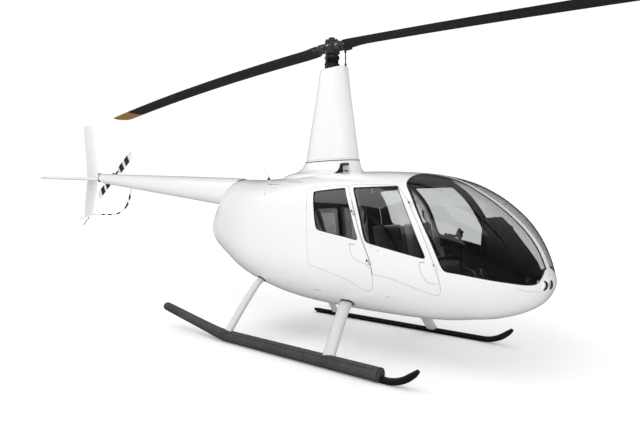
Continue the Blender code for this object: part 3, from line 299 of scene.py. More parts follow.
def settled_dust(tree, vector):
    """More where the surface faces up, broken up by fine noise."""
    facing = tree.nodes.new('ShaderNodeNewGeometry')
    parts = tree.nodes.new('ShaderNodeSeparateXYZ')
    tree.links.new(facing.outputs["Normal"], parts.inputs[0])
    upward = between(tree, parts.outputs["Z"], 0.1, 1.0)
    speckle = between(tree, noise(tree, vector, 35.0, 5.0, 0.65), 0.35, 0.80)
    return combine(tree, 'MULTIPLY', upward, speckle), speckle


def mixed(tree, factor, first, second, kind='RGBA'):
    """A colour or level between two, each of them a fixed value or a socket."""
    node = tree.nodes.new('ShaderNodeMix')
    node.data_type = kind
    tree.links.new(factor, node.inputs["Factor"])
    for name, value in (("A", first), ("B", second)):
        if isinstance(value, (tuple, float)):
            node.inputs[name].default_value = value
        else:
            tree.links.new(value, node.inputs[name])
    return node.outputs["Result"]


def laid_on(tree, place, surface, scale=1.0):
    """The group of one kind of surface, laid on the shape's own coordinates."""
    node = tree.nodes.new('ShaderNodeGroup')
    node.node_tree = new_group(surface.__name__.replace("_", " ").capitalize(), surface)
    node.inputs["Scale"].default_value = scale
    tree.links.new(place, node.inputs["Vector"])
    return node


Finish = namedtuple("Finish", "surface scale colour second rough rough_second metallic coat bump depth dust shine",
                    defaults=(0.5,))
DUST_COLOUR = (0.42, 0.41, 0.39, 1.0)


def finish(name, row):
    """A material from one row: what the surface is like, its two tones and how rough and raised it is."""
    if name in bpy.data.materials:
        return bpy.data.materials[name]
    made = bpy.data.materials.new(name)
    made.use_nodes = True
    tree = made.node_tree
    shader = tree.nodes["Principled BSDF"]
    shader.inputs["Metallic"].default_value = row.metallic
    shader.inputs["Coat Weight"].default_value = row.coat
    shader.inputs["Coat Roughness"].default_value = 0.06
    shader.inputs["Specular IOR Level"].default_value = row.shine
    place = tree.nodes.new('ShaderNodeTexCoord').outputs["Object"]

    surface = laid_on(tree, place, row.surface, row.scale)
    colour = mixed(tree, surface.outputs["Mask"], (*row.colour, 1.0), (*row.second, 1.0))
    if row.dust:
        dust = laid_on(tree, place, settled_dust)
        colour = mixed(tree, combine(tree, 'MULTIPLY', dust.outputs["Mask"], row.dust), colour, DUST_COLOUR)
    tree.links.new(colour, shader.inputs["Base Color"])
    tree.links.new(between(tree, surface.outputs["Mask"], 0, 1, row.rough, row.rough_second),
                   shader.inputs["Roughness"])
    raised = tree.nodes.new('ShaderNodeBump')
    raised.inputs["Strength"].default_value = row.bump
    raised.inputs["Distance"].default_value = row.depth
    tree.links.new(surface.outputs["Height"], raised.inputs["Height"])
    tree.links.new(raised.outputs["Normal"], shader.inputs["Normal"])
    return made


def toned(colour, share):
    return tuple(min(1.0, part * share) for part in colour)


def white_paint():
    colour = tuple(colours().paint)
    return finish("White gloss paint", Finish(sprayed_paint, 1.0, colour, toned(colour, 0.975), 0.20, 0.27, 0.0, 0.6,
                                              0.05, 0.0004, 0.0))


# Dark cabin lining; the mast base also takes it as painted shade inside its intake notch.
def dark_lining_and_shade():
    colour = tuple(colours().trim)
    return finish("Dark cabin lining and painted shade", Finish(moulded_grain, 1.0, colour, toned(colour, 1.6), 0.55, 0.70, 0.0, 0.0,
                                              0.25, 0.0006, 0.0, 0.2))


def black_rubber():
    return finish("Black rubber", Finish(moulded_grain, 0.8, (0.012, 0.012, 0.013), (0.026, 0.026, 0.027), 0.45, 0.62,
                                         0.0, 0.0, 0.2, 0.0005, 0.10, 0.25))


def reflector():
    """A bright bowl behind its cover, with a painted glow that stands in for the white it reflects."""
    made = finish("Lamp reflector with painted glow", Finish(machined_metal, 1.0, (0.95, 0.95, 0.95), (0.88, 0.88, 0.88), 0.35, 0.45,
                                           0.0, 0.3, 0.05, 0.0003, 0.0))
    # Painted light: the lamp is off, and this glow stands in for the studio white that the bowl mirrors.
    shader = made.node_tree.nodes["Principled BSDF"]
    shader.inputs["Emission Color"].default_value = (1.0, 1.0, 1.0, 1.0)
    shader.inputs["Emission Strength"].default_value = 0.8
    return made


def pale_seal():
    return finish("Pale edge seal", Finish(moulded_grain, 1.0, (0.62, 0.62, 0.62), (0.54, 0.54, 0.54), 0.6, 0.7, 0.0,
                                           0.0, 0.1, 0.0003, 0.0, 0.2))


# Near black for deep slots and seams; at the mast intake the same finish is painted shadow.
def dark_gap_and_shadow():
    return finish("Deep panel gap and painted shadow", Finish(moulded_grain, 1.0, (0.030, 0.030, 0.030), (0.060, 0.060, 0.060), 0.7, 0.8,
                                           0.0, 0.0, 0.1, 0.0003, 0.0, 0.1))


# A greyer copy of the body white for the cross tubes, darkened as painted shade for the gear under the body.
def shaded_gear_paint():
    return finish("Gear white with painted shade", Finish(sprayed_paint, 1.0, (0.66, 0.66, 0.66), (0.58, 0.58, 0.585), 0.34,
                                                  0.42, 0.0, 0.3, 0.05, 0.0004, 0.04))


def panel_gap():
    return finish("Shadowed panel gap", Finish(moulded_grain, 1.0, (0.20, 0.20, 0.20), (0.30, 0.30, 0.30), 0.7, 0.8,
                                               0.0, 0.0, 0.1, 0.0003, 0.0))


def blade_black():
    colour = tuple(colours().blade)
    return finish("Matt blade paint", Finish(blade_film, 1.0, colour, toned(colour, 1.5), 0.50, 0.64, 0.0, 0.0,
                                             0.12, 0.0005, 0.0, 0.15))


def blade_ochre():
    colour = tuple(colours().blade_tip)
    return finish("Ochre blade tip", Finish(blade_film, 1.0, colour, toned(colour, 0.80), 0.42, 0.58, 0.0, 0.0,
                                            0.12, 0.0005, 0.0))


def head_grey():
    return finish("Dark rotor head paint", Finish(moulded_grain, 0.6, (0.030, 0.031, 0.032), (0.060, 0.061, 0.062),
                                                  0.38, 0.55, 0.1, 0.0, 0.15, 0.0005, 0.06, 0.3))


def steel():
    return finish("Machined steel", Finish(machined_metal, 1.0, (0.56, 0.57, 0.58), (0.40, 0.41, 0.42), 0.24, 0.42,
                                           1.0, 0.0, 0.15, 0.0004, 0.0))


def alloy():
    return finish("Cast alloy", Finish(moulded_grain, 0.7, (0.42, 0.43, 0.43), (0.28, 0.28, 0.28), 0.42, 0.60, 0.9,
                                       0.0, 0.4, 0.0008, 0.05))


def skid_black():
    return finish("Satin black paint", Finish(sprayed_paint, 2.0, (0.006, 0.006, 0.0065), (0.013, 0.013, 0.013), 0.40,
                                              0.55, 0.0, 0.0, 0.10, 0.0005, 0.0, 0.18))


def cover_cloth():
    colour = tuple(colours().cover)
    return finish("Coated float cloth", Finish(woven_cloth, 1.0, colour, toned(colour, 1.5), 0.52, 0.66, 0.0, 0.0,
                                               0.35, 0.0012, 0.04, 0.2))


def grey_leather():
    colour = tuple(colours().leather)
    return finish("Grey leather", Finish(leather_grain, 1.0, colour, toned(colour, 1.35), 0.42, 0.55, 0.0, 0.0,
                                         0.35, 0.0008, 0.0))


def dark_leather():
    colour = tuple(colours().leather_panel)
    return finish("Dark leather", Finish(leather_grain, 1.0, colour, toned(colour, 1.5), 0.45, 0.58, 0.0, 0.0,
                                         0.35, 0.0008, 0.0))


def pale_leather():
    return finish("Pale leather", Finish(leather_grain, 1.0, (0.40, 0.41, 0.40), (0.32, 0.33, 0.32), 0.45, 0.58, 0.0,
                                         0.0, 0.35, 0.0008, 0.0))


def thread():
    return finish("Sewing thread", Finish(woven_cloth, 8.0, (0.16, 0.16, 0.16), (0.24, 0.24, 0.24), 0.7, 0.8, 0.0, 0.0,
                                          0.3, 0.0003, 0.0))


def webbing():
    return finish("Belt webbing", Finish(woven_cloth, 3.0, (0.020, 0.020, 0.022), (0.040, 0.040, 0.042), 0.70, 0.82,
                                         0.0, 0.0, 0.4, 0.0006, 0.0))


def carpet():
    return finish("Cabin carpet", Finish(carpet_pile, 1.0, (0.022, 0.022, 0.023), (0.048, 0.048, 0.050), 0.90, 0.98,
                                         0.0, 0.0, 0.6, 0.0020, 0.0))


def hood_black():
    return finish("Satin instrument hood", Finish(moulded_grain, 1.0, (0.012, 0.013, 0.013), (0.020, 0.021, 0.021),
                                                  0.28, 0.38, 0.0, 0.1, 0.12, 0.0004, 0.0, 0.35))


def gauge_face():
    return finish("Gauge face", Finish(moulded_grain, 2.0, (0.008, 0.008, 0.009), (0.016, 0.016, 0.017), 0.30, 0.40,
                                       0.0, 0.3, 0.05, 0.0002, 0.0))


def gauge_mark():
    return finish("Gauge marks", Finish(moulded_grain, 2.0, (0.62, 0.62, 0.58), (0.50, 0.50, 0.47), 0.45, 0.55, 0.0,
                                        0.0, 0.05, 0.0002, 0.0))


def pale_label():
    return finish("Pale blank label", Finish(moulded_grain, 2.0, (0.62, 0.62, 0.60), (0.50, 0.50, 0.48), 0.45, 0.55,
                                             0.0, 0.0, 0.05, 0.0002, 0.05))


def clear_sheet(name, colour, roughness):
    """Clear acrylic, a little uneven, that lets light through to what is behind it."""
    if name in bpy.data.materials:
        return bpy.data.materials[name]
    made = bpy.data.materials.new(name)
    made.use_nodes = True
    tree = made.node_tree
    shader = tree.nodes["Principled BSDF"]
    shader.inputs["Transmission Weight"].default_value = 1.0
    shader.inputs["IOR"].default_value = 1.45
    place = tree.nodes.new('ShaderNodeTexCoord').outputs["Object"]
    surface = laid_on(tree, place, sprayed_paint)
    tone = mixed(tree, surface.outputs["Mask"], (*colour, 1.0), (*toned(colour, 0.97), 1.0))
    tree.links.new(tone, shader.inputs["Base Color"])
    tree.links.new(between(tree, surface.outputs["Mask"], 0, 1, roughness, roughness + 0.015),
                   shader.inputs["Roughness"])
    return made


def acrylic():
    return clear_sheet("Clear acrylic", (0.80, 0.815, 0.81), 0.01)


def lamp_glass():
    return clear_sheet("Lamp glass", (0.93, 0.94, 0.94), 0.02)


# Shapes

def flowing(rows, step, measured=None):
    """Rows on a smooth curve through the given ones, at most one step apart."""
    rows = np.array(rows, float)
    gaps = np.linalg.norm(np.diff(rows[:, :measured], axis=0), axis=1)
    count = len(rows)
    matrix, right = np.zeros((count, count)), np.zeros_like(rows)
    matrix[0, 0] = matrix[-1, -1] = 1.0
    for i in range(1, count - 1):
        matrix[i, i - 1:i + 2] = gaps[i - 1], 2 * (gaps[i - 1] + gaps[i]), gaps[i]
        right[i] = 6 * ((rows[i + 1] - rows[i]) / gaps[i] - (rows[i] - rows[i - 1]) / gaps[i - 1])
    bend = np.linalg.solve(matrix, right)
    curve = []
    for i, gap in enumerate(gaps):
        parts = max(1, ceil(gap / step))
        for k in range(parts):
            after, before = k / parts, 1 - k / parts
            curve.append(before * rows[i] + after * rows[i + 1] + gap ** 2 / 6
                         * ((before ** 3 - before) * bend[i] + (after ** 3 - after) * bend[i + 1]))
    curve.append(rows[-1])
    return np.array(curve)


def body_rows():
    """Body sections at close stations, smooth through the nose's tip."""
    mirrored = [(x, top, bottom, wide, -half, upper, lower, lean)
                for x, bottom, top, wide, half, upper, lower, lean in SECTIONS[2:0:-1]]
    curve = flowing(mirrored + list(SECTIONS), SKIN_STEP, 5)
    tip = int(np.argmax(curve[:, 0]))
    return curve[tip:]


BODY = body_rows()


def quarter(half, reach, power):
    """Evenly spread points of one quarter of a section, from its widest point up."""
    angle = np.linspace(0, pi / 2, 241)
    out = half * np.cos(angle) ** (2 / power)
    up = reach * np.sin(angle) ** (2 / power)
    run = np.concatenate(([0], np.cumsum(np.hypot(np.diff(out), np.diff(up)))))
    even = np.linspace(0, run[-1], QUARTER + 1)
    return np.interp(even, run, out), np.interp(even, run, up)


def section_ring(row, inset):
    """Points round one body section, moved in by the inset."""
    x, bottom, top, wide, half, upper, lower, lean = row
    inward = inset * (1.0 - min(1.0, lean) ** 2) ** 0.5
    half = max(0.0, half - inward)
    above = quarter(half, max(0.0, top - wide - inward), upper)
    below = quarter(half, max(0.0, wide - bottom - inward), lower)
    forward, back = range(QUARTER), range(QUARTER, 0, -1)
    points = ([(above[0][k], above[1][k]) for k in forward] + [(-above[0][k], above[1][k]) for k in back]
              + [(-below[0][k], -below[1][k]) for k in forward] + [(below[0][k], -below[1][k]) for k in back])
    return [Vector((x - inset * lean, y, wide + z)) for y, z in points]


def surface(rows, around=True, ends=True):
    """A skin over rows of points, closed round each row and at both ends."""
    across, along = len(rows[0]) - (0 if around else 1), len(rows) - 1
    bm = bmesh.new()
    bmesh.ops.create_grid(bm, x_segments=across, y_segments=along, size=1.0)
    for v in bm.verts:
        i, j = round((v.co.x + 1) / 2 * across), round((v.co.y + 1) / 2 * along)
        v.co = rows[j][i % len(rows[0])]
    bmesh.ops.remove_doubles(bm, verts=bm.verts, dist=1e-6)
    if ends:
        bmesh.ops.holes_fill(bm, edges=[e for e in bm.edges if e.is_boundary], sides=0)
    bmesh.ops.recalc_face_normals(bm, faces=bm.faces)
    return bm


def body(inset, low, high=10.0):
    """The closed body between two stations, its skin moved in by the inset."""
    rows = [row for row in BODY if low - 1e-6 <= row[0] <= high + 1e-6]
    rings = [section_ring(row, inset) for row in rows]
    if low < rows[-1][0] - 1e-4:
        rings.append([Vector((low, p.y, p.z)) for p in rings[-1]])
    return surface(rings)


def shell(outer, inner):
    return cut(body(outer, TAIL_END_X), ('DIFFERENCE', body(inner, TAIL_END_X - 0.02)))


def prism(outline, near_y, far_y):
    """A side outline (station, height) carried across from near_y to far_y."""
    bm = bmesh.new()
    face = bm.faces.new([bm.verts.new((x, near_y, z)) for x, z in outline])
    grown = bmesh.ops.extrude_face_region(bm, geom=[face])
    far_side = [v for v in grown["geom"] if isinstance(v, bmesh.types.BMVert)]
    bmesh.ops.translate(bm, vec=(0, far_y - near_y, 0), verts=far_side)
    bmesh.ops.recalc_face_normals(bm, faces=bm.faces)
    return bm


def box(low, high, edge=0.0, segments=3):
    bm = bmesh.new()
    bmesh.ops.create_cube(bm, size=1.0)
    bmesh.ops.scale(bm, vec=Vector(high) - Vector(low), verts=bm.verts)
    bmesh.ops.translate(bm, vec=(Vector(high) + Vector(low)) / 2, verts=bm.verts)
    if edge:
        bmesh.ops.bevel(bm, geom=bm.edges[:], offset=edge, segments=segments, profile=0.5, affect='EDGES', material=-1)
    return bm


def turned(profile, point=(0, 0, 0), axis=(0, 0, 1), steps=40):
    """A turned shape from (radius, distance along the axis)."""
    bm = bmesh.new()
    line = [bm.verts.new((radius, 0, along)) for radius, along in profile]
    edges = [bm.edges.new(pair) for pair in zip(line, line[1:])]
    bmesh.ops.spin(bm, geom=line + edges, cent=(0, 0, 0), axis=(0, 0, 1), angle=2 * pi, steps=steps, use_merge=True)
    bmesh.ops.remove_doubles(bm, verts=bm.verts, dist=1e-6)
    bmesh.ops.holes_fill(bm, edges=[e for e in bm.edges if e.is_boundary], sides=0)
    bmesh.ops.recalc_face_normals(bm, faces=bm.faces)
    turn = Vector((0, 0, 1)).rotation_difference(Vector(axis).normalized()).to_matrix()
    bmesh.ops.rotate(bm, cent=(0, 0, 0), matrix=turn, verts=bm.verts)
    bmesh.ops.translate(bm, vec=point, verts=bm.verts)
    return bm


def hoop(radii, ends, point, axis, steps):
    """A ring of square section, from its two radii and its two ends along the axis."""
    (inner, outer), (low, high) = radii, ends
    return turned([(inner, low), (outer, low), (outer, high), (inner, high), (inner, low)], point, axis, steps)


def shifted(bm, by):
    bmesh.ops.translate(bm, vec=by, verts=bm.verts)
    return bm


def rotated(bm, angle, axis, centre=(0, 0, 0)):
    bmesh.ops.rotate(bm, cent=centre, matrix=Matrix.Rotation(angle, 3, axis), verts=bm.verts)
    return bm


def swept(points, half_width, half_height=None, sides=16, side=Vector((0, 0, 1)), step=None, power=2.0):
    """A bar of oval section along the points, its widths given once or for each point."""
    points = [Vector(p) for p in points]
    half_height = half_width if half_height is None else half_height
    widths = half_width if isinstance(half_width, (list, tuple)) else [half_width] * len(points)
    heights = half_height if isinstance(half_height, (list, tuple)) else [half_height] * len(points)
    if step:
        rows = flowing([(*p, w, h) for p, w, h in zip(points, widths, heights)], step, 3)
        points, widths, heights = [Vector(row[:3]) for row in rows], rows[:, 3], rows[:, 4]
    rings = []
    for i, point in enumerate(points):
        before = (point - points[i - 1]).normalized() if i else (points[1] - point).normalized()
        after = (points[i + 1] - point).normalized() if i + 1 < len(points) else before
        middle = (before + after).normalized()
        level = side if abs(middle.dot(side)) < 0.95 else Vector((1, 0, 0))
        across = middle.cross(level).normalized()
        upward = across.cross(middle).normalized()
        stretch = 1.0 / max(0.5, before.dot(middle))
        round_points = [(copysign(abs(cos(a)) ** (2 / power), cos(a)), copysign(abs(sin(a)) ** (2 / power), sin(a)))
                        for a in (2 * pi * k / sides for k in range(sides))]
        rings.append([point + across * widths[i] * c + upward * heights[i] * stretch * s for c, s in round_points])
    return surface(rings)


def mesh_of(bm):
    mesh = bpy.data.meshes.new("shape")
    bm.to_mesh(mesh)
    bm.free()
    return mesh


def joined(*shapes):
    """Several closed shapes in one."""
    whole = shapes[0]
    for other in shapes[1:]:
        mesh = mesh_of(other)
        whole.from_mesh(mesh)
        bpy.data.meshes.remove(mesh)
    return whole


def cut(bm, *steps):
    """Runs boolean steps, ('UNION' | 'DIFFERENCE' | 'INTERSECT', shape), and returns the result."""
    work = bpy.data.objects.new("work", mesh_of(bm))
    bpy.context.scene.collection.objects.link(work)
    tools = []
    for operation, shape in steps:
        tool = bpy.data.objects.new("tool", mesh_of(shape))
        bpy.context.scene.collection.objects.link(tool)
        tools.append(tool)
        change = work.modifiers.new("cut", 'BOOLEAN')
        change.operation = operation
        change.object = tool
        change.solver = 'MANIFOLD'
    bpy.context.view_layer.update()
    result = bpy.data.meshes.new_from_object(work.evaluated_get(bpy.context.evaluated_depsgraph_get()))
    for thing in [work] + tools:
        mesh = thing.data
        bpy.data.objects.remove(thing)
        bpy.data.meshes.remove(mesh)
    made = bmesh.new()
    made.from_mesh(result)
    bpy.data.meshes.remove(result)
    if not made.faces:
        raise RuntimeError("a cut left nothing of a shape")
    return made


def offset(outline, distance):
    """The outline grown by the distance, shrunk where it is negative."""
    points = [Vector(p) for p in outline]
    turn = sum(points[i - 1].x * points[i].y - points[i].x * points[i - 1].y for i in range(len(points)))
    outward = 1.0 if turn < 0 else -1.0
    moved = []
    for i, point in enumerate(points):
        before = (point - points[i - 1]).normalized()
        after = (points[(i + 1) % len(points)] - point).normalized()
        normals = [Vector((-d.y, d.x)) * outward for d in (before, after)]
        middle = (normals[0] + normals[1]).normalized()
        moved.append(tuple(point + middle * distance / max(0.6, middle.dot(normals[0]))))
    return moved


def softened(outline, most=0.05, steps=5):
    """The outline with every corner rounded, as far as its edges allow."""
    points = [Vector(p) for p in outline]
    curve = []
    for i, point in enumerate(points):
        before, after = points[i - 1], points[(i + 1) % len(points)]
        start = point + (before - point) * min(0.49, most / (before - point).length)
        end = point + (after - point) * min(0.49, most / (after - point).length)
        for k in range(steps + 1):
            share = k / steps
            curve.append(tuple(start.lerp(point, share).lerp(point.lerp(end, share), share)))
    return curve


def mirrored(bm):
    bmesh.ops.scale(bm, vec=(1, -1, 1), verts=bm.verts)
    bmesh.ops.reverse_faces(bm, faces=bm.faces)
    return bm


def on_side(bm, side):
    return mirrored(bm) if side == PORT else bm


def tree_of(bm):
    tree = BVHTree.FromBMesh(bm)
    bm.free()
    return tree


SKIN_TREE = tree_of(body(0.0, TAIL_END_X))


def on_skin(x, z, side, lift=0.0):
    """The point of the body's skin at a station and height, seen from one side, and its normal."""
    place, normal, _, _ = SKIN_TREE.ray_cast(Vector((x, side * 2.0, z)), Vector((0, -side, 0)))
    if place is None:
        raise RuntimeError(f"the skin has no point at station {x}, height {z}")
    return place + normal * lift, normal


def within(outline, x, z):
    """Whether the side outline goes round the point."""
    crossings = 0
    for (x0, z0), (x1, z1) in zip(outline, outline[1:] + outline[:1]):
        if (z0 > z) != (z1 > z) and x < x0 + (x1 - x0) * (z - z0) / (z1 - z0):
            crossings += 1
    return crossings % 2 == 1


def lined(bm, depth, *glazed):
    """Gives faces deep under the body's skin, and the edges of glazed openings, the second finish."""
    reveals = [offset(outline, 0.002) for outline in glazed]
    for face in bm.faces:
        middle = face.calc_center_median()
        _, _, _, away = SKIN_TREE.find_nearest(middle)
        edge = away > 0.001 and any(within(reveal, middle.x, middle.z) for reveal in reveals)
        face.material_index = 1 if away > depth or edge else 0
    return bm


def piece(name, bm, *finishes, on="airframe", stands_for=(), slot=None):
    """Makes the shape an object of the model that moves with one body."""
    mesh = mesh_of(shifted(bm, (MAST_X, 0, 0)))
    mesh.name = name
    for each in finishes:
        mesh.materials.append(each)
    mesh.shade_smooth()
    mesh.set_sharp_from_angle(angle=SHARP_ANGLE)
    made = bpy.data.objects.new(name, mesh)
    bpy.context.scene.collection.objects.link(made)
    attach(made, on)
    if stands_for:
        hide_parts(*stands_for)
    return made


def dressed(node, *finishes):
    """A better finish for a CAD node that stays as it is."""
    slots = frame["nodes"][node].material_slots
    for index, each in enumerate(finishes):
        slots[index].material = each


def skin_line(points, side, radius=None, lift=0.0):
    """A fine line on the skin through side points (station, height)."""
    radius = radius or sizes().line_width / 2
    path = [on_skin(x, z, side, lift)[0] for x, z in flowing(points, 0.02)]
    return swept(path, radius, sides=6)


def screw_head(place, normal, radius=None):
    radius = radius or sizes().screw_radius
    return turned([(0.0, 0.0014), (radius * 0.5, 0.0013), (radius * 0.9, 0.0008), (radius, -0.001)], place, normal,
                  steps=16)


# Fuselage

CrossTube = namedtuple("CrossTube", "name foot_x top_x leg half_chord half_thick")
CROSS_TUBES = (
    CrossTube("front", 0.683, 0.510, ((0.600, 0.424), (0.480, 0.515), (0.420, 0.535), (0.330, 0.536)), 0.066, 0.031),
    CrossTube("rear", -0.768, -0.735, ((0.668, 0.370), (0.536, 0.526), (0.455, 0.607), (0.370, 0.645), (0.270, 0.655)),
              0.046, 0.028))
SKID_RADIUS = 0.030
SKID_HALF_TREAD = 0.875
FOOT_BEND = 0.040


def cross_tube(row, grow, sides=28):
    """One arch from skid to skid, through the belly."""
    points = []
    bend_y = SKID_HALF_TREAD - FOOT_BEND
    top_y = row.leg[-1][0]
    for side in (STARBOARD, PORT):
        foot_z = 0.1285 if side == STARBOARD else 2 * SKID_RADIUS + TOUCH
        half = [(row.foot_x, side * (SKID_HALF_TREAD + 0.004), foot_z - grow - 0.012)]
        for y, z in row.leg:
            share = (bend_y - y) / (bend_y - top_y)
            half.append((row.foot_x - 0.01 + (row.top_x - row.foot_x + 0.01) * share, side * y, z))
        points += half if side == STARBOARD else half[::-1]
    return swept(points, row.half_thick + grow, row.half_chord + grow, sides=sides, side=Vector((1, 0, 0)), step=0.03,
                 power=2.6)


LANDING_LIGHTS = (("outer", -0.125, 0.822), ("inner", -0.035, 0.818))
LAMP_RADIUS = 0.039
LAMP_BACK_X = 2.262
ENGINE_OPENING = ((-1.05, -0.33, 0.40), (-0.30, 0.33, 0.70))
FLANK_RECESS = [(-0.673, 1.712), (-0.429, 1.700), (-0.384, 1.616), (-0.572, 1.564)]
RECESS_DEPTH = 0.012
AFT_SKIN = 0.025
FAN_CENTRE = Vector((-1.895, 0.0, 1.175))
FAN_RADIUS = 0.185


def lamp_barrel(y, z, grow):
    return turned([(LAMP_RADIUS + grow, 0.0), (LAMP_RADIUS + grow, 0.12)], (LAMP_BACK_X - grow, y, z), (1, 0, 0))


def knuckle(point, axis, start, length=0.022, radius=0.007):
    edge = 0.0015
    return turned([(radius - edge, start), (radius, start + edge), (radius, start + length - edge),
                   (radius - edge, start + length)], point, axis, steps=20)


def hinge_points(hinge):
    low, high = hinge
    return [low + (high - low) * share for share in (0.04, 0.96)]


def hinge_brackets(hinge, reach, side):
    """Fixed halves of a hinge, reaching from the pin line to the pillar behind the skin."""
    axis = (hinge[1] - hinge[0]).normalized()
    brackets = []
    for point in hinge_points(hinge):
        middle = point - axis * 0.011
        brackets.append(on_side(joined(knuckle(point, axis, -0.022 - TOUCH),
                                       swept([middle, middle + reach], 0.002, 0.009)), side))
    return brackets


class HELICOPTER_OT_fuselage(Operator):
    """Builds the lower body, the roof and the aft body as smooth painted shells"""
    bl_idname = "helicopter.fuselage"
    bl_label = "Fuselage"

    def execute(self, context):
        openings = [('DIFFERENCE', prism(softened(outline), *THROUGH))
                    for outline in (FRONT_DOOR, REAR_DOOR, WINDSHIELD)]
        between_doors = prism(beside_seam(0.006)[1:] + beside_seam(-0.006)[:0:-1], *THROUGH)
        wall = cut(body(0.0, FIREWALL_X), ('DIFFERENCE', body(SKIN, FIREWALL_X - 0.02)), *openings,
                   ('DIFFERENCE', between_doors))
        tubes = [('DIFFERENCE', cross_tube(row, 3 * TOUCH)) for row in CROSS_TUBES]
        lamps = [('DIFFERENCE', lamp_barrel(y, z, TOUCH)) for _, y, z in LANDING_LIGHTS]
        lower = cut(wall.copy(), ('DIFFERENCE', prism(ROOF_EDGE, -1, 1)), *tubes, *lamps)
        roof = cut(wall, ('INTERSECT', prism(offset(ROOF_EDGE, -TOUCH), -1, 1)))
        for name, shape, node in (("lower_body_skin", lower, "lower_fuselage"), ("roof_skin", roof, "cabin_roof")):
            piece(name, lined(shape, LINING_DEPTH, WINDSHIELD), white_paint(), dark_lining_and_shade(), stands_for=[node])

        for place, hinge, reach, slot in (("front", FRONT_HINGE, FRONT_BRACKET, "cabin_roof"),
                                          ("rear", REAR_HINGE, REAR_BRACKET, "door_post_starboard")):
            halves = [half for side, _ in SIDES for half in hinge_brackets(hinge, reach, side)]
            piece(place + "_hinge_brackets", joined(*halves), white_paint(), slot=slot)
        for _, side_name in SIDES:
            dressed("door_post_" + side_name, white_paint())

        aft = shifted(body(0.0, TAIL_END_X, FIREWALL_X), (-TOUCH, 0, 0))
        hollow = cut(body(AFT_SKIN, TAIL_END_X, FIREWALL_X),
                     ('INTERSECT', box((TAIL_END_X + AFT_SKIN, -1, 0), (FIREWALL_X - AFT_SKIN, 1, 3))))
        inlet = turned([(FAN_RADIUS + 0.008, -0.02), (FAN_RADIUS + 0.008, 0.11)], FAN_CENTRE, (1, 0, 0), steps=64)
        band = cut(body(-0.02, -1.5), ('DIFFERENCE', body(RECESS_DEPTH, -1.52)))
        recess = cut(band, ('INTERSECT', prism(softened(FLANK_RECESS, 0.012), *THROUGH)))
        aft = cut(aft, ('DIFFERENCE', hollow), ('DIFFERENCE', tailcone_shape(TOUCH)),
                  ('DIFFERENCE', box(*ENGINE_OPENING)), ('DIFFERENCE', inlet),
                  ('DIFFERENCE', cross_tube(CROSS_TUBES[1], 3 * TOUCH)), ('DIFFERENCE', recess))
        piece("aft_body_skin", lined(aft, RECESS_DEPTH + 0.004), white_paint(), dark_lining_and_shade(),
              stands_for=["aft_fuselage"])
        return {'FINISHED'}


class HELICOPTER_OT_doors(Operator):
    """Builds the four doors with their hinge knuckles, linings, panes and seals"""
    bl_idname = "helicopter.doors"
    bl_label = "Doors"

    def execute(self, context):
        for place, outline, window, hinge, reach in DOORS:
            leaf = cut(shell(0.0, DOOR_SKIN),
                       ('INTERSECT', prism(softened(offset(outline, -DOOR_GAP)), *STARBOARD_SKIN)),
                       ('DIFFERENCE', prism(softened(window, 0.02), *THROUGH)))
            axis = (hinge[1] - hinge[0]).normalized()
            for point in hinge_points(hinge):
                if place == "rear":
                    fixed = point - axis * 0.011
                    notch = box(fixed + Vector((-0.0085, -0.1, -0.017)), fixed + Vector((0.04, 0.2, 0.017)))
                    leaf = cut(leaf, ('DIFFERENCE', notch))
                middle = point + axis * 0.011
                leaf = joined(leaf, knuckle(point, axis, TOUCH), swept([middle, middle + reach], 0.003, 0.009))
            seal = cut(shell(-0.0006, 0.0125), ('INTERSECT', prism(softened(window, 0.02), *STARBOARD_SKIN)),
                       ('DIFFERENCE', prism(softened(offset(window, -sizes().seal_width), 0.02), -1.0, 0.0)))
            pane = cut(shell(0.006, 0.011),
                       ('INTERSECT', prism(softened(offset(window, -0.003), 0.02), *STARBOARD_SKIN)))
            rim = cut(shell(0.0015, 0.006),
                      ('INTERSECT', prism(softened(offset(outline, -0.0006)), *STARBOARD_SKIN)),
                      ('DIFFERENCE', prism(softened(offset(outline, -DOOR_GAP - 0.001)), -1.0, 0.0)),
                      ('DIFFERENCE', prism(self.beside_hinge(hinge), -1.1, 0.1)))
            for side, side_name in SIDES:
                node = f"{place}_door_{side_name}"
                glass = f"{place}_window_{side_name}"
                rider = node + "_body"
                piece(node + "_skin", on_side(lined(leaf.copy(), LINING_DEPTH, window), side), white_paint(),
                      dark_lining_and_shade(), on=rider, stands_for=[node])
                piece(glass + "_seal", on_side(seal.copy(), side), black_rubber(), on=rider, slot=node)
                piece(glass + "_pane", on_side(pane.copy(), side), acrylic(), on=rider, stands_for=[glass])
                piece(node + "_rim_seal", on_side(rim.copy(), side), pale_seal(), on=rider, slot=node)
            for shape in (leaf, seal, pane, rim):
                shape.free()
        return {'FINISHED'}

    def beside_hinge(self, hinge):
        """The side outline of the strip where the door turns past the frame."""
        low, high = hinge
        along = (high - low).normalized()
        low, high = low - along * 0.30, high + along * 0.09
        return [(low.x - 0.075, low.z), (low.x + 0.25, low.z), (high.x + 0.25, high.z), (high.x - 0.035, high.z)]


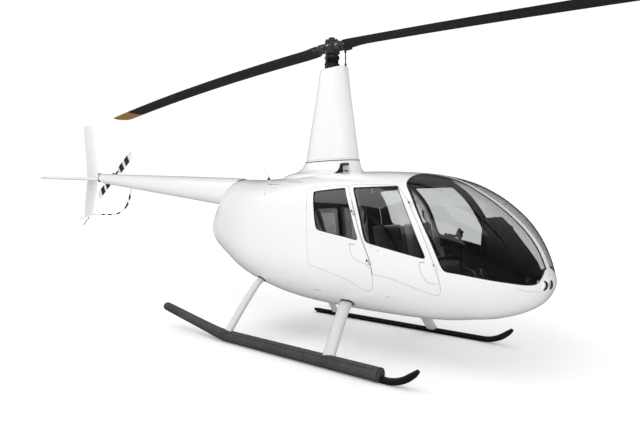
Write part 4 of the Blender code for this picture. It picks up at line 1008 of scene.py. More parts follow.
class HELICOPTER_OT_windshield(Operator):
    """Builds the two halves of the windshield, the strip between them and their dark edges"""
    bl_idname = "helicopter.windshield"
    bl_label = "Windshield"

    def execute(self, context):
        pane = cut(shell(0.002, 0.007), ('INTERSECT', prism(softened(offset(WINDSHIELD, -TOUCH)), -1, 1)))
        edge = cut(shell(0.0005, 0.013), ('INTERSECT', prism(softened(WINDSHIELD), -1, 1)),
                   ('DIFFERENCE', prism(softened(offset(WINDSHIELD, -0.007)), -1.1, 1.1)))
        strip = cut(shell(-0.001, 0.014),
                    ('INTERSECT', prism(softened(offset(WINDSHIELD, -TOUCH)), -STRIP_HALF, STRIP_HALF)))
        for side, side_name in SIDES:
            near, far = sorted((side * (STRIP_HALF + 0.0025), side))
            half = box((1.0, near, 0.5), (2.6, far, 2.0))
            piece(f"windshield_{side_name}_pane", cut(pane.copy(), ('INTERSECT', half.copy())), acrylic(),
                  stands_for=["windshield_" + side_name])
            half.free()
            near, far = sorted((side * (STRIP_HALF + 0.0003), side * (STRIP_HALF + 0.005)))
            joint = cut(shell(0.0, 0.012), ('INTERSECT', prism(softened(offset(WINDSHIELD, -0.004)), near, far)))
            piece(f"windshield_{side_name}_strip_seal", joint, black_rubber(), slot="windshield_" + side_name)
        keep = box((1.0, -1, 0.5), (2.6, 1, 2.0))
        middle = box((1.3, -STRIP_HALF, 0.5), (2.6, STRIP_HALF, 2.0))
        piece("windshield_edge_seal", cut(edge, ('INTERSECT', keep), ('DIFFERENCE', middle)), black_rubber(),
              slot="windshield_starboard")
        piece("windshield_strip", strip, white_paint(), stands_for=["windshield_centre_strip"])
        pane.free()
        return {'FINISHED'}


# Mast fairing

MAST_FAIRING = ((1.960, 0.345, 0.155, -0.020), (2.300, 0.286, 0.133, -0.006), (2.700, 0.214, 0.105, 0.014),
                (2.900, 0.186, 0.090, 0.022))
FAIRING_CAP = ((2.920, 0.182, 0.087, 0.024), (2.934, 0.178, 0.084, 0.026), (2.942, 0.172, 0.079, 0.0265),
               (2.946, 0.164, 0.072, 0.027))
MAST_BASE = ((1.740, 0.560, 0.330, -0.150), (1.795, 0.520, 0.290, -0.130), (1.830, 0.440, 0.225, -0.080),
             (1.880, 0.385, 0.180, -0.040), (1.9577, 0.350, 0.158, -0.020))
NOTCH = ((0.215, -0.35, 1.70), (0.60, -0.100, 1.906))
INTAKE_DUCT = ((0.06, -0.130, 1.845), (0.22, -0.106, 1.893))
MAST_RADIUS = 0.032
MAST_BORE_Z = 2.86
MAST_PLAY = 0.012
TOWER_SEAM_Z = (1.933, 1.944)


def fairing_rings(rows, sides=96, power=2.3):
    rings = []
    for z, chord, thick, middle in rows:
        angles = [2 * pi * k / sides for k in range(sides)]
        rings.append([Vector((middle + chord * copysign(abs(cos(a)) ** (2 / power), cos(a)),
                              thick * copysign(abs(sin(a)) ** (2 / power), sin(a)), z)) for a in angles])
    return rings


class HELICOPTER_OT_mast_fairing(Operator):
    """Builds the tall mast tower and the base that blends it into the roof, with its air intake"""
    bl_idname = "helicopter.mast_fairing"
    bl_label = "Mast fairing"

    def execute(self, context):
        rows = list(flowing(MAST_FAIRING, 0.04)) + list(FAIRING_CAP)
        bore = turned([(MAST_RADIUS + MAST_PLAY, 0.0), (MAST_RADIUS + MAST_PLAY, 0.3)], (0, 0, MAST_BORE_Z))
        piece("mast_tower", cut(surface(fairing_rings(rows)), ('DIFFERENCE', bore)), white_paint(),
              stands_for=["mast_fairing"])
        base = cut(surface(fairing_rings(flowing(MAST_BASE, 0.012))), ('DIFFERENCE', body(-TOUCH, -3.0)),
                   ('DIFFERENCE', box(*NOTCH, 0.006)), ('DIFFERENCE', box(*INTAKE_DUCT, 0.012)),
                   ('INTERSECT', box((-1.5, -0.6, 1.74), (1.0, 0.6, 2.1))))
        duct_low, duct_high = Vector(INTAKE_DUCT[0]), Vector(INTAKE_DUCT[1])
        # Painted shade: the duct, the notch's aft wall and its ceiling take the dark lining where shade falls inside
        # the intake.
        for face in base.faces:
            middle = face.calc_center_median()
            inside = all(duct_low[k] - 0.001 < middle[k] < duct_high[k] + 0.001 for k in range(3)) and middle.x < 0.21
            back = middle.x < NOTCH[0][0] + 0.006 and middle.x > 0.20 and face.normal.x > 0.5
            ceiling = middle.z > NOTCH[1][2] - 0.006 and face.normal.z < -0.5
            face.material_index = int(inside or back or ceiling)
        piece("mast_base", base, white_paint(), dark_lining_and_shade(), stands_for=["mast_base_fairing"])
        # Painted shadow: two dark strips, one under the notch's overhanging top and one low in the notch, where shade
        # falls.
        rubber = joined(box((0.218, -0.1425, 1.884), (0.305, -0.101, 1.9055), 0.003),
                        box((0.250, -0.150, 1.826), (0.300, -0.104, 1.832), 0.002))
        piece("intake_painted_shadow", rubber, dark_gap_and_shadow(), slot="mast_base_fairing")
        low, high = TOWER_SEAM_Z
        groove = [(z, chord + 0.0012, thick + 0.0012, middle) for z, chord, thick, middle in flowing(MAST_BASE, 0.002)
                  if low < z < high]
        piece("tower_seam", surface(fairing_rings(groove)), dark_gap_and_shadow(), slot="mast_base_fairing")
        rows = [row for row in flowing(MAST_FAIRING, 0.02) if 2.88 < row[0] < 2.90]
        z, chord, thick, middle = rows[0]
        place = Vector((middle - chord * 0.93, -thick * 0.42, z))
        piece("tower_screw", screw_head(place, (-0.75, -0.65, 0.05), 0.007), steel(), slot="mast_fairing")
        return {'FINISHED'}


# Tail

TAILCONE_FRONT = Vector((-1.56, 0.0, 1.618))
TAILCONE_REAR = Vector((-5.48, 0.0, 1.945))
TAILCONE_FRONT_RADIUS, TAILCONE_REAR_RADIUS = 0.193, 0.078
TAILCONE_SKIN = 0.012
TAILCONE_AXIS = (TAILCONE_REAR - TAILCONE_FRONT).normalized()
TAILCONE_LENGTH = (TAILCONE_REAR - TAILCONE_FRONT).length
TAILCONE_END = [(-5.300, 1.780), (-5.325, 1.868), (-5.380, 1.925), (-5.470, 1.972), (-5.600, 1.990), (-5.600, 1.780)]
FIN_Y = -0.095


def tailcone_radius(along):
    return TAILCONE_FRONT_RADIUS + (TAILCONE_REAR_RADIUS - TAILCONE_FRONT_RADIUS) * along / TAILCONE_LENGTH


def tailcone_shape(grow):
    return turned([(TAILCONE_FRONT_RADIUS + grow, -grow), (TAILCONE_REAR_RADIUS + grow, TAILCONE_LENGTH)],
                  TAILCONE_FRONT, TAILCONE_AXIS, steps=96)


FinRow = namedtuple("FinRow", "lead_x lead_z trail_x trail_z half")
UPPER_FIN = [FinRow(*row) for row in (
    (-5.374, 1.938, -5.797, 1.934, 0.014), (-5.403, 2.172, -5.803, 2.150, 0.014),
    (-5.445, 2.436, -5.836, 2.430, 0.013), (-5.488, 2.702, -5.872, 2.720, 0.012),
    (-5.507, 2.800, -5.883, 2.830, 0.011), (-5.534, 2.848, -5.889, 2.880, 0.009),
    (-5.562, 2.868, -5.891, 2.900, 0.006))]
LOWER_FIN = [FinRow(*row) for row in (
    (-5.374, 1.9377, -5.797, 1.9337, 0.014), (-5.394, 1.822, -5.812, 1.869, 0.014),
    (-5.471, 1.648, -5.866, 1.662, 0.013), (-5.539, 1.472, -5.912, 1.472, 0.012),
    (-5.585, 1.348, -5.944, 1.348, 0.011), (-5.768, 1.250, -5.970, 1.250, 0.009))]
GUARD_PATH = [(-4.392, 0, 1.790), (-4.401, 0, 1.760), (-4.439, 0, 1.667), (-4.475, 0, 1.585), (-4.546, 0, 1.486),
              (-4.668, 0, 1.395), (-4.808, 0, 1.343), (-4.984, 0, 1.313), (-5.349, 0, 1.304), (-5.560, 0, 1.302),
              (-5.650, -0.030, 1.301), (-5.790, FIN_Y + 0.006, 1.300)]
GUARD_RADIUS = 0.0145
GUARD_BANDS = ((-4.478, -4.440), (-4.625, -4.515), (-4.900, -4.780), (-5.200, -5.080), (-5.450, -5.330))


def banded(bm, bands):
    """Cuts rings into the shape at the bands' ends (station) and gives the faces between them the second finish."""
    for edge in sorted({edge for band in bands for edge in band}):
        bmesh.ops.bisect_plane(bm, geom=bm.verts[:] + bm.edges[:] + bm.faces[:], plane_co=(edge, 0, 0),
                               plane_no=(1, 0, 0), dist=1e-5)
    for face in bm.faces:
        station = face.calc_center_median().x
        face.material_index = int(any(back < station < front for back, front in bands))


def aerofoil(lead, trail, half, across, count=14):
    """Points round a thin symmetrical section."""
    upper = []
    for k in range(count + 1):
        share = (1 - cos(pi * k / count)) / 2
        height = 2.6 * (0.2969 * share ** 0.5 - 0.126 * share - 0.3516 * share ** 2 + 0.2843 * share ** 3
                        - 0.0985 * share ** 4)
        upper.append((share, max(height / 0.26, 0.06 if k in (0, count) else 0.0)))
    above = [lead.lerp(trail, share) + across * half * min(1.0, height) for share, height in upper]
    below = [lead.lerp(trail, share) - across * half * min(1.0, height) for share, height in reversed(upper)]
    return above + below


def fin_shape(table, grow=0.0):
    rows = flowing([(row.lead_x + grow, row.lead_z, row.trail_x - grow, row.trail_z, row.half + 2 * grow)
                    for row in table], 0.05)
    return surface([aerofoil(Vector((lead_x, FIN_Y, lead_z)), Vector((trail_x, FIN_Y, trail_z)), half, ACROSS)
                    for lead_x, lead_z, trail_x, trail_z, half in rows])


class HELICOPTER_OT_tail(Operator):
    """Builds the tailcone, fins, stabiliser, gearbox, rotor guard, rods and antenna"""
    bl_idname = "helicopter.tail"
    bl_label = "Tail"

    def execute(self, context):
        bore = turned([(TAILCONE_FRONT_RADIUS - TAILCONE_SKIN, -0.02),
                       (TAILCONE_REAR_RADIUS - TAILCONE_SKIN, TAILCONE_LENGTH + 0.02)],
                      TAILCONE_FRONT, TAILCONE_AXIS, steps=96)
        cone = cut(tailcone_shape(0.0), ('DIFFERENCE', bore),
                   ('DIFFERENCE', prism(softened(TAILCONE_END, 0.03), -0.2, 0.2)))
        piece("tailcone_skin", cone, white_paint(), stands_for=["tailcone"])
        piece("upper_fin_skin", fin_shape(UPPER_FIN), white_paint(), stands_for=["upper_fin"])
        piece("lower_fin_skin", fin_shape(LOWER_FIN), white_paint(), stands_for=["lower_fin"])
        stab_y = FIN_Y - 0.014 - TOUCH
        rows = ((-5.360, stab_y, 1.928, -5.785, 1.932, 0.027), (-5.620, -0.835, 1.949, -5.975, 1.949, 0.021),
                (-5.630, -0.850, 1.9495, -5.978, 1.9495, 0.015), (-5.655, -0.864, 1.950, -5.985, 1.950, 0.009))
        stabiliser = surface([aerofoil(Vector((lead, y, z)), Vector((trail, y, trail_z)), half, Vector((0, 0, 1)))
                              for lead, y, z, trail, trail_z, half in rows])
        piece("stabiliser_skin", stabiliser, white_paint(), stands_for=["horizontal_stabiliser"])

        front = TAILCONE_REAR + TAILCONE_AXIS * TOUCH
        gearbox = turned([(0.0, -0.19), (0.050, -0.19), (0.060, -0.17), (0.060, 0.0), (0.069, 0.0), (0.070, 0.003),
                          (0.070, 0.018), (0.055, 0.03), (0.055, 0.06), (0.060, 0.064), (0.060, 0.074), (0.055, 0.078),
                          (0.055, 0.22), (0.068, 0.235), (0.070, 0.25), (0.070, 0.295), (0.060, 0.325), (0.045, 0.338),
                          (0.0, 0.340)], front, TAILCONE_AXIS, steps=48)
        centre = Vector((TAIL_ROTOR.x, 0.0, TAIL_ROTOR.z))
        output = turned([(0.042, 0.0), (0.042, 0.07), (0.046, 0.072), (0.046, 0.084), (0.040, 0.088), (0.040, 0.12),
                         (0.030, 0.14), (0.030, 0.19), (0.0, 0.19)], centre, (0, 1, 0), steps=40)
        bracket = box((-5.70, FIN_Y + 0.0145, 1.915), (-5.53, -0.02, 1.985), 0.006)
        bolts = [turned([(0.006, 0.0), (0.006, 0.006), (0.004, 0.008), (0.0, 0.008)],
                        centre + Vector((0.036 * cos(a), 0.086, 0.036 * sin(a))), (0, 1, 0), steps=12)
                 for a in (k * pi / 3 for k in range(6))]
        piece("gearbox_casting", joined(gearbox, output, bracket, *bolts), alloy(), stands_for=["tail_gearbox"])

        guard = swept(GUARD_PATH, GUARD_RADIUS, sides=14, side=ACROSS, step=0.02)
        guard = cut(guard, ('DIFFERENCE', tailcone_shape(TOUCH)), ('DIFFERENCE', fin_shape(LOWER_FIN, TOUCH)))
        banded(guard, GUARD_BANDS)
        piece("guard_tube", guard, white_paint(), skid_black(), stands_for=["tail_rotor_guard"])
        rod_z = LOWER_FIN[-1].lead_z - TOUCH
        skid = swept([(-5.790, FIN_Y, rod_z), (-5.790, FIN_Y, 1.237), (-5.812, FIN_Y, 1.221), (-5.900, FIN_Y, 1.170),
                      (-6.004, FIN_Y, 1.107)], 0.0085, sides=14, side=ACROSS, step=0.012)
        piece("tail_skid_tube", skid, skid_black(), stands_for=["tail_skid"])
        rod = swept([(-5.880, FIN_Y, rod_z), (-5.880, FIN_Y, 1.243), (-5.900, FIN_Y, 1.236), (-6.287, FIN_Y, 1.212)],
                    0.006, sides=12, side=ACROSS, step=0.012)
        piece("trailing_rod_tube", rod, steel(), stands_for=["trailing_rod"])

        foot = turned([(0.020, 0.0), (0.020, 0.036), (0.016, 0.045), (0.009, 0.050), (0.008, 0.060)],
                      (-1.055, 0, 1.745), (0, 0, 1), steps=24)
        whip = swept([(-1.056, 0, 1.78), (-1.17, 0, 1.992), (-1.32, 0, 2.26)], [0.006, 0.004, 0.003], sides=10,
                     step=0.04)
        piece("antenna_whip", cut(joined(whip), ('DIFFERENCE', body(-TOUCH, -3.0))), white_paint(),
              stands_for=["whip_antenna"])
        piece("antenna_foot", cut(foot, ('DIFFERENCE', body(-TOUCH, -3.0))), black_rubber(), slot="whip_antenna")
        return {'FINISHED'}


# Landing gear

def skid_path(rear_x):
    """Straight along the ground, then curved up to the tip."""
    start, bend, radius = 1.305, radians(35), 0.41
    path = [(rear_x, SKID_RADIUS), (rear_x + 0.02, SKID_RADIUS), (start, SKID_RADIUS)]
    for k in range(1, 15):
        a = bend * k / 14
        path.append((start + radius * sin(a), SKID_RADIUS + radius * (1 - cos(a))))
    x, z = path[-1]
    path.append((x + 0.060 * cos(bend), z + 0.062 * sin(bend)))
    path.append((x + 0.105 * cos(bend), z + 0.122 * sin(bend)))
    return path


class HELICOPTER_OT_landing_gear(Operator):
    """Builds the skids, the stowed float's cover, the cross tubes and their rubber collars"""
    bl_idname = "helicopter.landing_gear"
    bl_label = "Landing gear"

    def execute(self, context):
        for (side, side_name), rear_x in zip(SIDES, (-0.86, -1.085)):
            y = side * SKID_HALF_TREAD
            path = [(x, y, z) for x, z in skid_path(rear_x)]
            widths = [SKID_RADIUS] * (len(path) - 2) + [SKID_RADIUS * 0.88, SKID_RADIUS * 0.55]
            if side == PORT:
                path.insert(0, (rear_x - 0.055, y, SKID_RADIUS * 1.35))
                widths.insert(0, SKID_RADIUS * 0.45)
            piece(f"skid_{side_name}_tube", swept(path, widths, sides=32), skid_black(),
                  stands_for=["skid_" + side_name])
        self.float_cover()
        for row in CROSS_TUBES:
            piece(row.name + "_arch", cross_tube(row, 0.0, sides=40), shaded_gear_paint(),
                  stands_for=[row.name + "_cross_tube"])
            collar = cut(cross_tube(row, 0.012), ('INTERSECT', shell(-0.009, 0.012)),
                         ('DIFFERENCE', cross_tube(row, 0.0006)))
            piece(row.name + "_arch_collars", collar, black_rubber(), slot=row.name + "_cross_tube")
        return {'FINISHED'}

    def float_cover(self):
        y = STARBOARD * SKID_HALF_TREAD
        bent = flowing(((-0.600, 0.066, 0.062), (-0.700, 0.066, 0.062), (-0.820, 0.067, 0.062), (-0.920, 0.074, 0.060),
                        (-1.100, 0.100, 0.056), (-1.500, 0.165, 0.053), (-1.960, 0.240, 0.050)), 0.03, 2)
        rows = [(1.262, 0.066, 0.052), (1.260, 0.066, 0.058), (1.254, 0.066, 0.062)]
        rows += [(1.2 - 0.1 * k, 0.066, 0.062) for k in range(18)] + list(bent)
        rows += [(-1.985, 0.244, 0.047), (-1.996, 0.246, 0.042), (-2.000, 0.247, 0.034)]
        radii = [row[2] for row in rows]
        cover = swept([(x, y, z) for x, z, _ in rows], radii, sides=48)
        groove = swept([(1.40, y, SKID_RADIUS), (-0.861, y, SKID_RADIUS)], SKID_RADIUS + TOUCH, sides=32)
        piece("float_cover_cloth", cut(cover, ('DIFFERENCE', groove)), cover_cloth(),
              stands_for=["float_cover_starboard"])
        seams = []
        for x in (-0.80, -0.835, 1.235, 0.42):
            low = min(rows, key=lambda row: abs(row[0] - x))
            seams.append(turned([(low[2] - 0.004, -0.003), (low[2] + 0.0012, -0.002), (low[2] + 0.0012, 0.002),
                                 (low[2] - 0.004, 0.003)], (low[0], y, low[1]), (1, 0, 0), steps=48))
        lacing = swept([(x, y - 0.043, 0.066 + 0.045) for x in (1.23, 0.8, 0.2, -0.4, -0.79)], 0.0022, sides=8)
        ground = box((-3, y - 0.2, -0.1), (3, y + 0.2, 0.006))
        piece("float_cover_seams", cut(joined(*seams, lacing), ('DIFFERENCE', ground)), skid_black(),
              slot="float_cover_starboard")


# Rotors

BLADE_PARKED = radians(-1.19)
HUB_TOP_Z = 3.28
ROTOR_RADIUS = 5.03
GRIP_START, GRIP_END = 0.150, 0.300
BladeRow = namedtuple("BladeRow", "r lead trail half")
BLADE = [BladeRow(*row) for row in (
    (0.202, 0.046, 0.046, 0.036), (0.208, 0.052, 0.054, 0.042), (0.220, 0.058, 0.062, 0.045),
    (0.240, 0.070, 0.088, 0.044), (0.270, 0.080, 0.135, 0.038), (0.315, 0.083, 0.172, 0.029),
    (0.370, 0.083, 0.184, 0.022), (0.450, 0.083, 0.184, 0.018), (0.560, 0.083, 0.184, 0.017),
    (2.000, 0.083, 0.184, 0.016), (3.500, 0.083, 0.184, 0.016), (4.600, 0.083, 0.184, 0.015),
    (4.860, 0.083, 0.182, 0.014),
    (4.940, 0.082, 0.165, 0.013), (4.990, 0.078, 0.130, 0.012), (5.018, 0.068, 0.090, 0.009),
    (ROTOR_RADIUS, 0.050, 0.040, 0.004))]
ParkedBlade = namedtuple("ParkedBlade", "name sign drop bow pitch")
PARKED_BLADES = (ParkedBlade("forward", 1, 0.0648, 0.0047, radians(0.5)),
                 ParkedBlade("aft", -1, 0.0059, 0.0083, radians(5.0)))
PitchLink = namedtuple("PitchLink", "name x y")
PITCH_LINKS = (PitchLink("forward", 0.106, 0.100), PitchLink("aft", 0.030, -0.128))
HORN_Z, HORN_THICK = 3.138, 0.018
SWASH_ARM_Z = 2.978


def both_sides(upper):
    """A blade's outline (along the chord, height), from its upper side."""
    return upper + [(along, -height) for along, height in upper[-2::-1]]


BLADE_OUTLINE = both_sides([(-1.0, 0.06), (-0.75, 0.38), (-0.45, 0.68), (-0.10, 0.92), (0.0, 0.97), (0.10, 1.0),
                            (0.45, 0.93), (0.75, 0.70), (0.93, 0.36), (1.0, 0.0)])


def blade_axis(blade, r):
    return Vector((blade.sign * r, 0, ROTOR_HUB_Z - blade.drop * r - blade.bow * r * r))


def grip_direction(blade):
    return (blade_axis(blade, GRIP_END) - blade_axis(blade, GRIP_START)).normalized()


def blade_shape(blade):
    stations = sorted({row.r for row in BLADE} | {sizes().tip_band} | {0.56 + 0.2 * k for k in range(21)})
    outward = grip_direction(blade)
    rings = []
    for r in stations:
        low = max(i for i, row in enumerate(BLADE) if row.r <= r + 1e-9)
        high = min(low + 1, len(BLADE) - 1)
        share = (r - BLADE[low].r) / max(1e-9, BLADE[high].r - BLADE[low].r)
        lead, trail, half = (a + (b - a) * share for a, b in zip(BLADE[low][1:], BLADE[high][1:]))
        pitch = blade.pitch * min(1.0, (r - BLADE[0].r) / 0.30)
        chordwise = Vector((0, blade.sign * cos(pitch), sin(pitch)))
        up = Vector((0, -blade.sign * sin(pitch), cos(pitch)))
        if r == BLADE[0].r:
            up = outward.cross(chordwise).normalized()
            up *= copysign(1, up.z)
        rings.append([blade_axis(blade, r) + chordwise * along * (lead if along > 0 else trail) + up * half * height
                      for along, height in BLADE_OUTLINE])
    return surface(rings)


def parked(bm):
    """Turns a shape from the rotor's own frame to where the rotor is parked."""
    return rotated(bm, BLADE_PARKED, 'Z')


def bolt(place, axis, radius=0.008, height=0.008, steps=6):
    """A hexagonal bolt head on its washer."""
    washer = turned([(radius * 1.35, 0.0), (radius * 1.35, 0.0015), (radius * 0.8, 0.0015)], place, axis, steps=20)
    head = turned([(radius, 0.001), (radius, height * 0.8), (radius * 0.85, height), (0.0, height)], place, axis,
                  steps=steps)
    return joined(washer, head)


def grip_shape(blade):
    """Blade grip: a bulged barrel with the pitch horn on its leading side."""
    start, outward = blade_axis(blade, GRIP_START), grip_direction(blade)
    length = 0.0495
    barrel = turned([(0.044, 0.0), (0.049, 0.004), (0.050, 0.012), (0.054, 0.018), (0.0545, 0.030), (0.050, 0.038),
                     (0.046, length - 0.003), (0.042, length)], start, outward, steps=48)
    link = next(row for row in PITCH_LINKS if row.name == blade.name)
    top = HORN_Z + HORN_THICK
    side = copysign(1, link.y)
    near_x, far_x = sorted((blade.sign * 0.168, blade.sign * 0.198))
    near_y, far_y = sorted((side * 0.020, link.y + side * 0.012))
    horn = box((near_x, near_y, HORN_Z), (far_x, far_y, top), 0.003)
    near_x, far_x = sorted((link.x - blade.sign * 0.014, blade.sign * 0.198))
    near_y, far_y = sorted((link.y - side * 0.012, link.y + side * 0.012))
    reach = box((near_x, near_y, HORN_Z), (far_x, far_y, top), 0.003)
    return joined(barrel, horn, reach)


class HELICOPTER_OT_main_rotor(Operator):
    """Builds the main blades, their grips and links, the hub and the boot, and dresses the mast"""
    bl_idname = "helicopter.main_rotor"
    bl_label = "Main rotor"

    def execute(self, context):
        for blade, link in zip(PARKED_BLADES, PITCH_LINKS):
            shape = blade_shape(blade)
            if blade.name == "aft":
                for face in shape.faces:
                    face.material_index = int(-face.calc_center_median().x > sizes().tip_band)
            piece(f"main_blade_{blade.name}_skin", parked(shape), blade_black(), blade_ochre(), on="main_rotor",
                  stands_for=["main_blade_" + blade.name])
            piece(f"blade_grip_{blade.name}_barrel", parked(grip_shape(blade)), head_grey(), on="main_rotor",
                  stands_for=["blade_grip_" + blade.name])
            low, high = SWASH_ARM_Z + TOUCH, HORN_Z - TOUCH
            rod = turned([(0.0, low), (0.010, low), (0.011, low + 0.002), (0.011, low + 0.020), (0.0065, low + 0.026),
                          (0.0065, high - 0.026), (0.011, high - 0.020), (0.011, high - 0.002), (0.010, high),
                          (0.0, high)], (link.x, link.y, 0), (0, 0, 1), steps=24)
            for face in rod.faces:
                face.material_index = int(not low + 0.026 < face.calc_center_median().z < high - 0.026)
            piece(f"pitch_link_{blade.name}_rod", parked(rod), steel(), head_grey(), on="main_rotor",
                  stands_for=["pitch_link_" + blade.name])
        self.hub()
        self.boot()
        dressed("rotor_shaft", steel())
        return {'FINISHED'}

    def hub(self):
        teeter = (PARKED_BLADES[0].drop - PARKED_BLADES[1].drop) / 2
        bar = rotated(box((-0.143, -0.050, -0.050), (0.143, 0.050, 0.042), 0.014, 4), teeter, 'Y')
        bar = shifted(bar, (0, 0, 3.180))
        yoke = box((-0.060, -0.068, 3.10 + TOUCH), (0.060, 0.068, 3.212), 0.012, 4)
        cap = turned([(0.072, 3.205), (0.076, 3.210), (0.076, 3.222), (0.070, 3.226), (0.074, 3.230), (0.074, 3.246),
                      (0.050, 3.256), (0.040, 3.258), (0.036, 3.266), (0.034, HUB_TOP_Z - 0.003), (0.030, HUB_TOP_Z),
                      (0.0, HUB_TOP_Z)], steps=40)
        spindles = [turned([(0.0, -0.03), (0.030, -0.03), (0.030, -TOUCH), (0.0, -TOUCH)],
                           blade_axis(blade, GRIP_START), grip_direction(blade), steps=32) for blade in PARKED_BLADES]
        knobs = [turned([(0.011, -0.01), (0.012, 0.004), (0.012, 0.012), (0.007, 0.016), (0.0, 0.017)],
                        (0.058 * cos(a), 0.058 * sin(a), 3.245), steps=14)
                 for a in (k * pi / 4 + 0.3 for k in range(8))]
        places = ((0.0, 0.068, 3.180, 0.016, 0.016), (-0.105, 0.050, 3.176, 0.013, 0.014),
                  (0.105, 0.050, 3.176, 0.013, 0.014))
        bolts = [bolt(Vector((x, side * y, z)), (0, side, 0), radius, height)
                 for x, y, z, radius, height in places for side in (-1, 1)]
        piece("rotor_hub_casting", parked(joined(bar, yoke, cap, *spindles, *knobs)), head_grey(), on="main_rotor",
              stands_for=["rotor_hub"])
        forward = PARKED_BLADES[0]
        label = shifted(box((0.232, 0.0, 0.0), (0.300, 0.001, 0.020), 0.0004, 1),
                        (0, -0.0775, blade_axis(forward, 0.266).z - 0.014))
        piece("root_label", parked(label), pale_label(), on="main_rotor", slot="main_blade_forward")
        piece("rotor_hub_bolts", parked(joined(*bolts)), steel(), on="main_rotor", slot="rotor_hub")

    def boot(self):
        folds = [(0.033, 2.952), (0.078, 2.952), (0.081, 2.956), (0.081, 2.988), (0.078, 2.993), (0.058, 2.998)]
        for k in range(4):
            folds += [(0.066, 3.002 + 0.010 * k), (0.070, 3.006 + 0.010 * k), (0.062, 3.010 + 0.010 * k)]
        folds += [(0.076, 3.046), (0.082, 3.054), (0.080, 3.072), (0.072, 3.086), (0.052, 3.094), (0.033, 3.094)]
        plate = turned(folds, steps=48)
        arms = []
        for row in PITCH_LINKS:
            reach = Vector((row.x, row.y, 0))
            height = Vector((0, 0, SWASH_ARM_Z - 0.010))
            arms.append(swept([reach * 0.4 + height, reach * 1.09 + height], 0.016, 0.010, sides=20))
        piece("swashplate_boot", parked(joined(plate, *arms)), black_rubber(), on="main_rotor",
              stands_for=["swashplate"])


TAIL_BLADE_PARKED = radians(30.3)
TAIL_ROTOR_RADIUS = 0.7366
TAIL_BANDS = ((0.235, 0.375), (0.455, 0.600))
TAIL_BLADE = [BladeRow(*row) for row in (
    (0.0455, 0.02, 0.02, 0.014), (0.15, 0.02, 0.02, 0.014), (0.165, 0.024, 0.026, 0.013),
    (0.205, 0.058, 0.078, 0.009), (0.22, 0.062, 0.086, 0.008), (0.235, 0.062, 0.086, 0.008),
    (0.375, 0.062, 0.086, 0.0075), (0.455, 0.062, 0.086, 0.007), (0.600, 0.062, 0.086, 0.0065),
    (0.72, 0.062, 0.086, 0.006), (0.732, 0.059, 0.083, 0.005), (TAIL_ROTOR_RADIUS, 0.055, 0.078, 0.003))]
TAIL_BLADE_OUTLINE = both_sides([(-1.0, 0.10), (-0.6, 0.55), (-0.2, 0.90), (0.2, 1.0), (0.6, 0.92), (0.9, 0.5),
                                 (1.0, 0.0)])
CUFF_END = 0.165


class HELICOPTER_OT_tail_rotor(Operator):
    """Builds the banded tail rotor blades and their hub"""
    bl_idname = "helicopter.tail_rotor"
    bl_label = "Tail rotor"

    def execute(self, context):
        base = TAIL_ROTOR
        hub = turned([(0.0, 0.190 + TOUCH - base.y), (0.026, 0.190 + TOUCH - base.y), (0.026, -0.03), (0.043, -0.022),
                      (0.045, -0.018), (0.045, 0.028), (0.040, 0.034), (0.022, 0.046), (0.018, 0.05), (0.0, 0.05)],
                     base, (0, 1, 0), steps=36)
        links = []
        for sign in (1, -1):
            out = Vector((cos(TAIL_BLADE_PARKED), 0, sin(TAIL_BLADE_PARKED))) * sign
            edge = Vector((-out.z, 0, out.x))
            links.append(swept([base + edge * 0.030 + Vector((0, -0.06, 0)),
                                base + edge * 0.034 + out * 0.05 + Vector((0, -0.02, 0))], 0.006, sides=12))
        piece("tail_rotor_hub_body", joined(hub, *links), head_grey(), on="tail_rotor", stands_for=["tail_rotor_hub"])
        for name, sign in (("upper", 1), ("lower", -1)):
            out = Vector((cos(TAIL_BLADE_PARKED), 0, sin(TAIL_BLADE_PARKED))) * sign
            chordwise = Vector((-out.z, 0, out.x))
            rings = [[base + out * r + chordwise * along * (lead if along > 0 else trail) + ACROSS * half * height
                      for along, height in TAIL_BLADE_OUTLINE] for r, lead, trail, half in TAIL_BLADE]
            blade = surface(rings)
            for face in blade.faces:
                r = (face.calc_center_median() - base).dot(out)
                face.material_index = int(r < CUFF_END or any(low < r < high for low, high in TAIL_BANDS))
            piece(f"tail_blade_{name}_skin", blade, white_paint(), blade_black(), on="tail_rotor",
                  stands_for=["tail_blade_" + name])
        return {'FINISHED'}


# Cabin

Seat = namedtuple("Seat", "row x_back x_front seat_z back_top_z back_lean drop")
SEATS = (Seat("front", 0.80, 1.36, 0.90, 1.42, 0.16, 0.12), Seat("rear", -0.03, 0.50, 0.92, 1.46, 0.10, 0.0))
SEAT_Y = (-0.475, -0.035)
PANEL_Y = (-0.380, -0.130)
CUSHION_VOXEL = 0.009
CUSHION_PRESSURE = 4.0
CUSHION_FRAMES = 20


